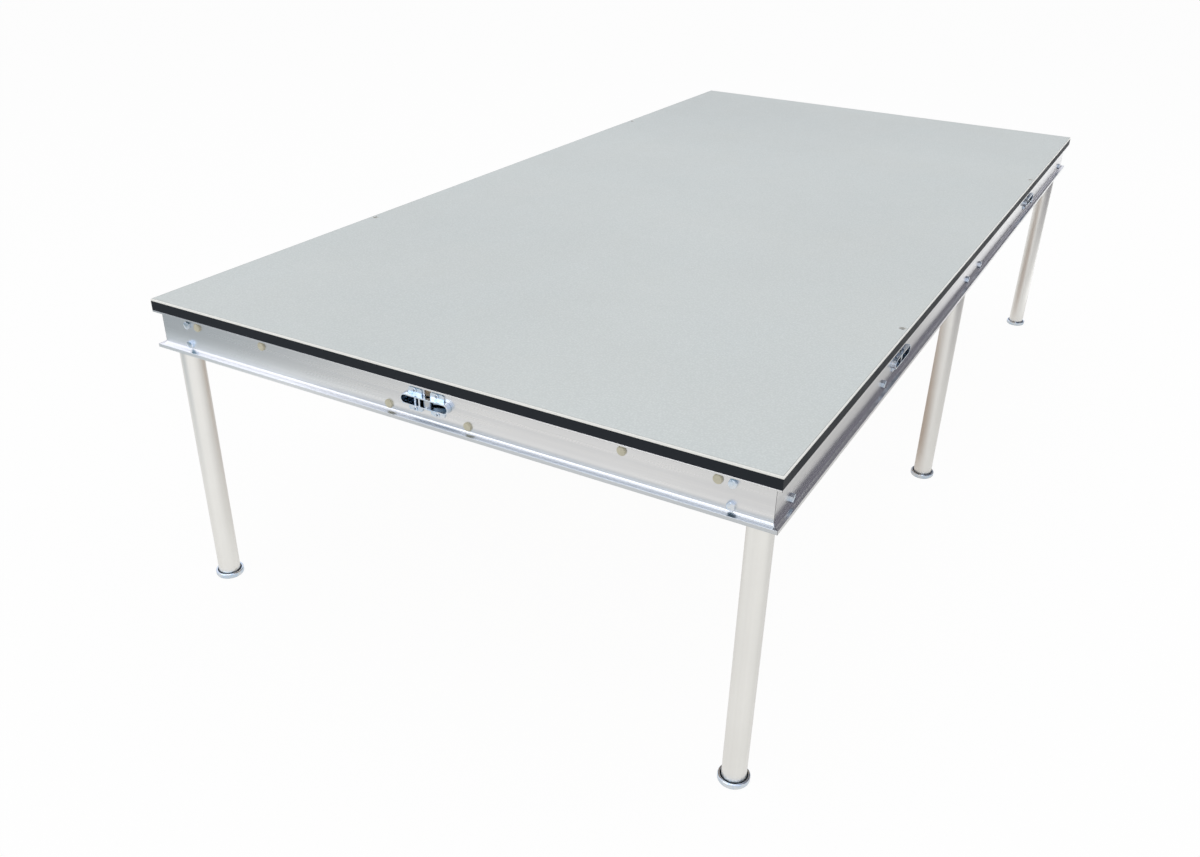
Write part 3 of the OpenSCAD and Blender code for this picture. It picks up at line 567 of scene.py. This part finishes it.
def turningConeGroup():  # the cone that a lathe cuts a hexagon's corners to, around its top
    tree, ins, out = newGeometryGroup("turningCone", [
        ("Flats", "Float", 0.013), ("Height", "Float", 0.0053), ("Chamfer", "Float", 0.97)])
    top = calc(tree, "MULTIPLY", calc(tree, "DIVIDE", ins["Flats"], 2.0), ins["Chamfer"])
    slope = math.tan(math.radians(60))
    past = 0.3  # the cone runs past both ends of the hexagon
    wide = calc(tree, "ADD", top, calc(tree, "MULTIPLY", ins["Height"], (1 + past) * slope))
    narrow = calc(tree, "SUBTRACT", top, calc(tree, "MULTIPLY", ins["Height"], past * slope))
    cone = geo(tree, "MeshCone", {"Vertices": 48, "Radius Top": narrow, "Radius Bottom": wide,
                                  "Depth": calc(tree, "MULTIPLY", ins["Height"], 1 + 2 * past)})["Mesh"]
    lift = triple(tree, z=calc(tree, "MULTIPLY", ins["Height"], -past))
    tree.links.new(moved(tree, cone, lift), out)
    return tree


def hexagonGroup():  # a hexagon up from the origin, chamfered round its top
    tree, ins, out = newGeometryGroup("hexagon", [("Flats", "Float", 0.013), ("Height", "Float", 0.0053)])
    outer = calc(tree, "DIVIDE", ins["Flats"], 2 * math.cos(math.radians(30)))
    prism = geo(tree, "MeshCylinder", {"Vertices": 6, "Radius": outer, "Depth": ins["Height"]})["Mesh"]
    prism = moved(tree, prism, triple(tree, z=calc(tree, "DIVIDE", ins["Height"], 2.0)))
    cone = useGeometry(tree, turningCone, {"Flats": ins["Flats"], "Height": ins["Height"]})
    tree.links.new(cut(tree, "INTERSECT", prism, cone), out)
    return tree


def panHeadGroup():  # a round head up from the origin, domed, with a cross recess
    tree, ins, out = newGeometryGroup("panHead", [
        ("Diameter", "Float", 0.0072), ("Height", "Float", 0.002), ("Drop", "Float", 0.0009),
        ("Recess", "Float", 0.0011)])
    radius = calc(tree, "DIVIDE", ins["Diameter"], 2.0)
    half = calc(tree, "DIVIDE", ins["Height"], 2.0)
    block = geo(tree, "MeshCylinder", {"Vertices": 28, "Fill Segments": 5, "Radius": radius,
                                       "Depth": ins["Height"]}, fill_type="TRIANGLE_FAN")["Mesh"]
    place = geo(tree, "InputPosition")[0]
    at = add(tree, "SeparateXYZ", {0: place}).outputs
    fromAxis = vectorCalc(tree, "LENGTH", triple(tree, at["X"], at["Y"]))
    share = calc(tree, "POWER", calc(tree, "DIVIDE", fromAxis, radius), 2.0)
    drop = calc(tree, "MULTIPLY", calc(tree, "MULTIPLY", share, ins["Drop"]),
                calc(tree, "GREATER_THAN", at["Z"], 0.0))
    block = geo(tree, "SetPosition", {"Geometry": block, "Offset": triple(
        tree, z=calc(tree, "SUBTRACT", half, drop))})[0]
    arms = [geo(tree, "MeshCube", {"Size": triple(
        tree, calc(tree, "MULTIPLY", ins["Diameter"], a), calc(tree, "MULTIPLY", ins["Diameter"], b),
        calc(tree, "MULTIPLY", ins["Recess"], 2.0))})["Mesh"] for a, b in ((0.56, 0.13), (0.13, 0.56))]
    high = triple(tree, z=ins["Height"])
    tree.links.new(cut(tree, "DIFFERENCE", block, *[moved(tree, arm, high) for arm in arms]), out)
    return tree


threadedRod = threadedRodGroup()
turningCone = turningConeGroup()
hexagon = hexagonGroup()
panHead = panHeadGroup()


def placedAlong(tree, points, part, roll, shift=None, scale=None):  # one part on each point, along its axis
    axis = geo(tree, "InputNamedAttribute", {"Name": "axis"}, data_type="FLOAT_VECTOR")[0]
    if shift is not None:
        offset = vectorCalc(tree, "SCALE", axis)
        fill(tree, offset.node.inputs["Scale"], shift)
        points = geo(tree, "SetPosition", {"Geometry": points, "Offset": offset})[0]
    rolled = geo(tree, "FunctionNodeEulerToRotation", {0: triple(tree, z=roll)})[0]
    turn = geo(tree, "FunctionNodeAlignRotationToVector", {"Rotation": rolled, "Vector": axis}, axis="Z")[0]
    return geo(tree, "InstanceOnPoints", {"Points": points, "Instance": part, "Rotation": turn,
                                          "Scale": scale})[0]


def finished(tree, geometry, material, out):
    whole = geo(tree, "RealizeInstances", {"Geometry": geometry})[0]
    tree.links.new(geo(tree, "SetMaterial", {"Geometry": whole, "Material": material})[0], out)


def randomRoll(tree, seed):
    return geo(tree, "FunctionNodeRandomValue", {2: 0.0, 3: 2 * math.pi, "Seed": seed},
               data_type="FLOAT")[1]


def boltSetGroup(name, head):  # bolts or screws, each with its head's underside on the point
    tree, ins, out = newGeometryGroup(name, [
        ("Head Width", "Float", 0.013), ("Head Height", "Float", 0.0053), ("Diameter", "Float", 0.008),
        ("Pitch", "Float", 0.00125), ("Thread", "Float", 0.015), ("Seed", "Int", 4),
        ("Material", "Material", None)], points=True)
    roll = randomRoll(tree, ins["Seed"])
    reach = geo(tree, "InputNamedAttribute", {"Name": "reach"}, data_type="FLOAT")[0]
    if head == "hexagon":
        top = useGeometry(tree, hexagon, {"Flats": ins["Head Width"], "Height": ins["Head Height"]})
    else:
        top = useGeometry(tree, panHead, {"Diameter": ins["Head Width"], "Height": ins["Head Height"],
                                          "Recess": calc(tree, "MULTIPLY", ins["Head Height"], 0.6)})
    top = moved(tree, top, turn=(math.pi, 0, 0))
    radius = calc(tree, "DIVIDE", ins["Diameter"], 2.0)
    plain = geo(tree, "MeshCylinder", {"Vertices": 16, "Radius": calc(tree, "MULTIPLY", radius, 0.99),
                                       "Depth": 1.0})["Mesh"]
    plain = moved(tree, plain, (0, 0, 0.5))
    rod = useGeometry(tree, threadedRod, {
        "Diameter": ins["Diameter"], "Length": ins["Thread"], "Pitch": ins["Pitch"],
        "Depth": calc(tree, "MULTIPLY", ins["Pitch"], 0.55)})
    start = calc(tree, "SUBTRACT", reach, ins["Thread"])
    parts = [placedAlong(tree, ins["Points"], top, roll),
             placedAlong(tree, ins["Points"], plain, roll, scale=triple(tree, 1.0, 1.0, start)),
             placedAlong(tree, ins["Points"], rod, roll, shift=start)]
    finished(tree, joined(tree, *parts), ins["Material"], out)
    return tree


def nutSetGroup():  # nuts on points, from the point along its axis
    tree, ins, out = newGeometryGroup("nutSet", [
        ("Flats", "Float", 0.013), ("Height", "Float", 0.0065), ("Bore", "Float", 0.0081),
        ("Seed", "Int", 9), ("Material", "Material", None)], points=True)
    body = useGeometry(tree, hexagon, {"Flats": ins["Flats"], "Height": ins["Height"]})
    cone = useGeometry(tree, turningCone, {"Flats": ins["Flats"], "Height": ins["Height"]})
    body = cut(tree, "INTERSECT", body, moved(tree, cone, triple(tree, z=ins["Height"]), (math.pi, 0, 0)))
    bore = geo(tree, "MeshCylinder", {"Vertices": 24, "Radius": calc(tree, "DIVIDE", ins["Bore"], 2.0),
                                      "Depth": calc(tree, "MULTIPLY", ins["Height"], 4.0)})["Mesh"]
    body = cut(tree, "DIFFERENCE", body, bore)
    finished(tree, placedAlong(tree, ins["Points"], body, randomRoll(tree, ins["Seed"])),
             ins["Material"], out)
    return tree


hexBolts = boltSetGroup("hexBolts", "hexagon")
panScrews = boltSetGroup("panScrews", "pan")
nutSet = nutSetGroup()
print("geometry groups ready")


def bakeModifier(piece, group, values):  # grows the piece through the group, then keeps only the mesh
    modifier = piece.modifiers.new(group.name, "NODES")
    modifier.node_group = group
    for item in group.interface.items_tree:
        if item.item_type == "SOCKET" and item.in_out == "INPUT" and item.name in values:
            modifier[item.identifier] = values[item.name]
    bpy.context.view_layer.update()
    graph = bpy.context.evaluated_depsgraph_get()
    mesh = bpy.data.meshes.new_from_object(piece.evaluated_get(graph))
    piece.modifiers.clear()
    mesh.shade_smooth()
    mesh.set_sharp_from_angle(angle=math.radians(32))
    mesh.name = piece.name
    piece.data = mesh


def cadSolids(name):  # corners of each separate solid of a CAD node, as arrays
    piece = nodes[name]
    shape = bmesh.new()
    shape.from_mesh(piece.data)
    bmesh.ops.remove_doubles(shape, verts=shape.verts, dist=1e-6)
    shape.verts.ensure_lookup_table()
    seen, solids = set(), []
    for start in shape.verts:
        if start.index in seen:
            continue
        seen.add(start.index)
        group, waiting = [], [start]
        while waiting:
            corner = waiting.pop()
            group.append(tuple(piece.matrix_world @ corner.co))
            for edge in corner.link_edges:
                other = edge.other_vert(corner)
                if other.index not in seen:
                    seen.add(other.index)
                    waiting.append(other)
        solids.append(np.array(group))
    shape.free()
    return solids


def boltPlaces(name, diameter):  # underside of each head, the shank's direction and its length
    found = []
    for corners in cadSolids(name):
        low, high = corners.min(0), corners.max(0)
        along = int(np.argmax(high - low))
        middle = (low + high) / 2
        across = np.delete(corners - middle, along, 1)
        wide = corners[np.hypot(*across.T) > 0.6 * diameter][:, along]
        atLow = wide.min() - low[along] < high[along] - wide.max()
        under = wide.max() if atLow else wide.min()
        tip = high[along] if atLow else low[along]
        place, axis = middle.copy(), np.zeros(3)
        place[along] = under
        axis[along] = 1 if atLow else -1
        found.append((place, axis, abs(tip - under)))
    return found


def nutPlaces(name):
    found = []
    for corners in cadSolids(name):
        low, high = corners.min(0), corners.max(0)
        along = int(np.argmin(high - low))
        place, axis = (low + high) / 2, np.zeros(3)
        place[along] = low[along]
        axis[along] = 1
        found.append((place, axis, high[along] - low[along]))
    return found


def pointPiece(name, rows):
    mesh = bpy.data.meshes.new(name)
    mesh.from_pydata([tuple(row[0]) for row in rows], [], [])
    mesh.attributes.new("axis", "FLOAT_VECTOR", "POINT").data.foreach_set(
        "vector", np.array([row[1] for row in rows], dtype=np.float32).ravel())
    mesh.attributes.new("reach", "FLOAT", "POINT").data.foreach_set(
        "value", np.array([row[2] for row in rows], dtype=np.float32))
    piece = bpy.data.objects.new(name, mesh)
    bpy.context.scene.collection.objects.link(piece)
    return piece


fastenerSets = {  # CAD node: group, its sizes and finish
    "socket_bolts": (hexBolts, {"Thread": 14 * mm, "Seed": 11}, "zinc"),
    "bearer_bolts": (hexBolts, {"Thread": 14 * mm, "Seed": 12}, "zinc"),
    "clamp_bolts": (hexBolts, {"Thread": 14 * mm, "Seed": 13}, "zinc"),
    "lock_screws": (panScrews, {"Head Width": 7.2 * mm, "Head Height": 2.0 * mm, "Diameter": 3.8 * mm,
                                "Pitch": 0.7 * mm, "Thread": 5.5 * mm, "Seed": 14}, "zinc"),
    "deck_screws": (panScrews, {"Head Width": 8.0 * mm, "Head Height": 2.2 * mm, "Diameter": 4.4 * mm,
                                "Pitch": 1.8 * mm, "Thread": 12.0 * mm, "Seed": 15}, "zinc"),
    "socket_nuts": (nutSet, {"Seed": 21}, "zinc"),
    "bearer_nuts": (nutSet, {"Seed": 22}, "zinc"),
    "clamp_nuts": (nutSet, {"Seed": 23}, "zinc"),
}


def buildFasteners():
    for name, (group, sizes, kind) in fastenerSets.items():
        if group is nutSet:
            rows = nutPlaces(name)
        else:
            rows = boltPlaces(name, sizes.get("Diameter", 8 * mm))
        words = name.split("_")
        piece = pointPiece(words[0] + words[1].capitalize(), rows)
        bakeModifier(piece, group, {**sizes, "Material": finishes[kind]})
        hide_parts(name)
        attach(piece, "deck")
        print(piece.name, len(rows), "places", len(piece.data.polygons), "faces")


buildFasteners()


# Feet

footShape = {
    "radius": 27.6 * mm, "height": 11.5 * mm, "floor": 3.0 * mm, "wall": 4.7 * mm, "lowRadius": 3.83 * mm,
    "innerRadius": 1.2 * mm, "segments": 80, "studDiameter": 16 * mm, "studTop": 65 * mm, "pitch": 2 * mm,
}


def arc(x, z, radius, start, end, steps=6):
    angles = [math.radians(start + (end - start) * i / steps) for i in range(steps + 1)]
    return [(x + radius * math.cos(a), z + radius * math.sin(a)) for a in angles]


def cupOutline():
    f = footShape
    r, h, rim = f["radius"], f["height"], f["wall"] / 2
    inner = r - f["wall"]
    line = [(0.0, 0.0)]
    line += arc(r - f["lowRadius"], f["lowRadius"], f["lowRadius"], -90, 0)
    line += arc(r - rim, h - rim, rim, 0, 180, 10)
    line += arc(inner - f["innerRadius"], f["floor"] + f["innerRadius"], f["innerRadius"], 0, -90, 4)
    line.append((0.0, f["floor"]))
    return line


def studdedGroup():  # adds the threaded stud to a cup
    tree, ins, out = newGeometryGroup("studded", [
        ("Place", "Vector", (0, 0, 0)), ("Diameter", "Float", 0.016), ("Length", "Float", 0.062),
        ("Pitch", "Float", 0.002), ("Material", "Material", None)], points=True)
    rod = useGeometry(tree, threadedRod, {
        "Diameter": ins["Diameter"], "Length": ins["Length"], "Pitch": ins["Pitch"],
        "Depth": calc(tree, "MULTIPLY", ins["Pitch"], 0.55), "Sides": 32})
    finished(tree, joined(tree, ins["Points"], moved(tree, rod, ins["Place"])), ins["Material"], out)
    return tree


def buildFeet():
    studded = studdedGroup()
    outline = cupOutline()
    for name in places:
        low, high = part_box(name + "_foot")
        x, y = (low[0] + high[0]) / 2, (low[1] + high[1]) / 2
        shape = bmesh.new()
        ring = [shape.verts.new((x + r, y, z)) for r, z in outline]
        edges = [shape.edges.new(pair) for pair in zip(ring, ring[1:])]
        bmesh.ops.spin(shape, geom=ring + edges, cent=(x, y, 0), axis=(0, 0, 1), dvec=(0, 0, 0),
                       angle=2 * math.pi, steps=footShape["segments"], use_duplicate=False)
        bmesh.ops.remove_doubles(shape, verts=shape.verts, dist=1e-6)
        bmesh.ops.recalc_face_normals(shape, faces=shape.faces)
        words = name.split("_")
        title = words[0] + words[1].capitalize() + "Foot"
        mesh = bpy.data.meshes.new(title)
        shape.to_mesh(mesh)
        shape.free()
        piece = bpy.data.objects.new(title, mesh)
        bpy.context.scene.collection.objects.link(piece)
        bakeModifier(piece, studded, {
            "Place": (x, y, footShape["floor"]), "Diameter": footShape["studDiameter"],
            "Length": footShape["studTop"] - footShape["floor"], "Pitch": footShape["pitch"],
            "Material": finishes["zinc"]})
        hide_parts(name + "_foot")
        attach(piece, name + "_foot")
    print("feet ready")


buildFeet()


# Stage

studio = {
    "floorSize": 60.0, "floorGlow": 0.962, "floorColor": (0.95, 0.95, 0.95, 1), "ambient": 0.47,
    "skySheen": (1.00, 1.01, 1.10, 1),
}

floorLook = {  # painted reflections: colours that only gloss sees in the floor, among them a painted shadow under the deck and painted light far off, and the places between which each one grows
    "plain": (0.855, 0.845, 0.825, 1), "shade": 0.95,
    "far": (1.42, 1.42, 1.42, 1), "farX": (2.6, 4.4),
    "stripX": (0.85, 1.6), "stripInner": (-0.70, -0.82), "stripOuter": (-1.25, -1.08),
    "frontX": (-1.0, -1.5), "frontTilt": (-1.3, 0.8, 0.14, 0.02), "frontRise": (-0.2, 0.1, 0.0, 0.09),
    "besideX": (-0.5, -0.2), "besideY": (-0.85, -1.1), "besideShade": 0.86,
    "cool": (0.40, 0.45, 0.475, 1), "coolX": (-1.5, -1.8), "coolY": (0.65, 1.65),
    "under": (0.46, 0.38, 0.32, 1), "underX": (-0.9, -0.1), "underEndX": (1.3, 0.9),
    "underOut": 0.02, "underIn": 0.22,
}


def backgroundRays(tree):  # 1 for the rays that see the studio white: camera, gloss and glass
    path = add(tree, "LightPath").outputs
    either = calc(tree, "MAXIMUM", path["Is Camera Ray"], path["Is Glossy Ray"])
    return calc(tree, "MAXIMUM", either, path["Is Transmission Ray"])


def buildWorld():
    world = bpy.data.worlds.new("studioWorld")
    world.use_nodes = True
    tree = world.node_tree
    background = tree.nodes["Background"]
    fill(tree, background.inputs["Strength"],
         remap(tree, backgroundRays(tree), 0.0, 1.0, studio["ambient"], 1.0))
    gloss = add(tree, "LightPath").outputs["Is Glossy Ray"]
    fill(tree, background.inputs["Color"], blendColors(tree, gloss, (1, 1, 1, 1), studio["skySheen"]))
    bpy.context.scene.world = world


def floorSheen(tree):  # painted reflections: a warm painted shadow under the deck, cool and darker off the left end, painted light beside the long side and far off
    look = floorLook
    at = add(tree, "SeparateXYZ", {0: add(tree, "TexCoord").outputs["Object"]}).outputs
    strip = calc(tree, "MULTIPLY", remap(tree, at["X"], *look["stripX"]),
                 remap(tree, at["Y"], *look["stripInner"]))
    strip = calc(tree, "MULTIPLY", strip, remap(tree, at["Y"], *look["stripOuter"]))
    far = calc(tree, "MAXIMUM", strip, remap(tree, at["X"], *look["farX"]))
    front = remap(tree, at["X"], *look["frontX"])
    across = calc(tree, "ADD", remap(tree, at["Y"], *look["frontTilt"]),
                  remap(tree, at["Y"], *look["frontRise"]))
    shade = calc(tree, "ADD", look["shade"], calc(tree, "MULTIPLY", front, across))
    beside = calc(tree, "MULTIPLY", remap(tree, at["Y"], *look["besideY"]),
                  remap(tree, at["X"], *look["besideX"]))
    shade = calc(tree, "MULTIPLY", shade, remap(tree, beside, 0.0, 1.0, 1.0, look["besideShade"]))
    lit = vectorCalc(tree, "SCALE", look["plain"][:3])
    fill(tree, lit.node.inputs["Scale"], shade)
    cool = calc(tree, "MULTIPLY", remap(tree, at["X"], *look["coolX"]),
                remap(tree, at["Y"], *look["coolY"]))
    lit = blendColors(tree, cool, lit, look["cool"])
    color = blendColors(tree, far, lit, look["far"])
    underX = calc(tree, "MULTIPLY", remap(tree, at["X"], *look["underX"]),
                  remap(tree, at["X"], *look["underEndX"]))
    underY = remap(tree, calc(tree, "ABSOLUTE", at["Y"]),
                   deckHigh.y + look["underOut"], deckHigh.y - look["underIn"])
    # painted shadow of the deck, seen only in gloss
    return blendColors(tree, calc(tree, "MULTIPLY", underX, underY), color, look["under"])


def buildFloor():
    size = studio["floorSize"] / 2
    shape = bmesh.new()
    corners = [shape.verts.new((x * size, y * size, 0)) for x, y in ((-1, -1), (1, -1), (1, 1), (-1, 1))]
    shape.faces.new(corners)
    mesh = bpy.data.meshes.new("studioFloor")
    shape.to_mesh(mesh)
    shape.free()
    floor = bpy.data.objects.new("studioFloor", mesh)
    bpy.context.scene.collection.objects.link(floor)
    material = bpy.data.materials.new("studioFloor")
    material.use_nodes = True
    tree = material.node_tree
    tree.nodes.clear()
    matte = add(tree, "BsdfDiffuse", {"Color": studio["floorColor"]}).outputs[0]
    gloss = add(tree, "LightPath").outputs["Is Glossy Ray"]
    tint = blendColors(tree, gloss, (1, 1, 1, 1), floorSheen(tree))
    glow = add(tree, "Emission", {"Color": tint, "Strength": 1.0}).outputs[0]
    share = calc(tree, "MULTIPLY", backgroundRays(tree), studio["floorGlow"])
    both = add(tree, "MixShader", {0: share, 1: matte, 2: glow}).outputs[0]
    fill(tree, add(tree, "OutputMaterial").inputs["Surface"], both)
    mesh.materials.append(material)


softboxes = {  # place, aim, width, height in metres, and power in watts
    "topSoftbox": ((-0.1, -0.3, 4.4), (0.1, 0, 0.5), 7.0, 5.5, 100),
    "endSoftbox": ((-5.0, 1.6, 2.6), (0, 0, 0.5), 2.6, 2.0, 34),
    "sideSoftbox": ((1.0, -5.0, 2.4), (0, 0, 0.5), 3.4, 2.0, 42),
}


def buildLights():
    for name, (place, aim, width, height, power) in softboxes.items():
        data = bpy.data.lights.new(name, "AREA")
        data.shape = "RECTANGLE"
        data.size = width
        data.size_y = height
        data.energy = power
        light = bpy.data.objects.new(name, data)
        light.location = place
        light.rotation_euler = (Vector(aim) - Vector(place)).to_track_quat("-Z", "Y").to_euler()
        bpy.context.scene.collection.objects.link(light)


sideCard = {  # painted reflection: a glowing card, a dark wall and ceiling beside the stage that only gloss sees, pale and brighter than white low down at its far end
    "y": -1.6, "fromX": -1.15, "toX": 9.6, "low": 0.12, "high": 4.0, "roofY": 0.2,
    "color": (0.165, 0.158, 0.190, 1),
    "fadeFrom": 3.2, "fadeTo": 4.2, "pale": (1.25, 1.25, 1.3, 1), "paleLow": 0.6, "paleTop": 1.0,
}


def buildSideCard():
    card = sideCard
    shape = bmesh.new()
    profile = [(card["y"], card["low"]), (card["y"], card["high"]), (card["roofY"], card["high"])]
    rows = [[shape.verts.new((x, y, z)) for y, z in profile] for x in (card["fromX"], card["toX"])]
    for i in (0, 1):
        shape.faces.new((rows[0][i], rows[1][i], rows[1][i + 1], rows[0][i + 1]))
    mesh = bpy.data.meshes.new("sideCard")
    shape.to_mesh(mesh)
    shape.free()
    wall = bpy.data.objects.new("sideCard", mesh)
    bpy.context.scene.collection.objects.link(wall)
    material = bpy.data.materials.new("sideCard")
    material.use_nodes = True
    tree = material.node_tree
    tree.nodes.clear()
    at = add(tree, "SeparateXYZ", {0: add(tree, "TexCoord").outputs["Object"]}).outputs
    far = calc(tree, "MULTIPLY", remap(tree, at["X"], card["fadeFrom"], card["fadeTo"]),
               remap(tree, at["Z"], card["paleTop"], card["paleLow"]))
    color = blendColors(tree, far, card["color"], card["pale"])
    paint = add(tree, "Emission", {"Color": color, "Strength": 1.0}).outputs[0]
    fill(tree, add(tree, "OutputMaterial").inputs["Surface"], paint)
    mesh.materials.append(material)
    wall.visible_camera = wall.visible_diffuse = wall.visible_shadow = False
    wall.visible_transmission = wall.visible_volume_scatter = False


cameraSettings = {
    "place": (-2.4427, -1.0027, 1.3395), "heading": 27.756, "pitch": -29.058, "roll": 1.925,
    "lens": 32.505, "sensor": 36.0, "shiftX": -0.0169, "shiftY": 0.0215,
}


def buildCamera():
    settings = cameraSettings
    heading, pitch, roll = (math.radians(settings[k]) for k in ("heading", "pitch", "roll"))
    forward = Vector((math.cos(pitch) * math.cos(heading), math.cos(pitch) * math.sin(heading),
                      math.sin(pitch)))
    right = forward.cross(Vector((0, 0, 1))).normalized()
    up = right.cross(forward)
    rolledRight = math.cos(roll) * right + math.sin(roll) * up
    rolledUp = -math.sin(roll) * right + math.cos(roll) * up
    turn = Matrix((rolledRight, rolledUp, -forward)).transposed()
    data = bpy.data.cameras.new("stageCamera")
    data.sensor_width = settings["sensor"]
    data.lens = settings["lens"]
    data.shift_x = settings["shiftX"]
    data.shift_y = settings["shiftY"]
    data.clip_end = 200
    camera = bpy.data.objects.new("stageCamera", data)
    camera.matrix_world = Matrix.Translation(settings["place"]) @ turn.to_4x4()
    bpy.context.scene.collection.objects.link(camera)
    bpy.context.scene.camera = camera


buildWorld()
buildFloor()
buildSideCard()
buildLights()
buildCamera()
bpy.context.scene.view_settings.view_transform = "Standard"
print("stage ready")
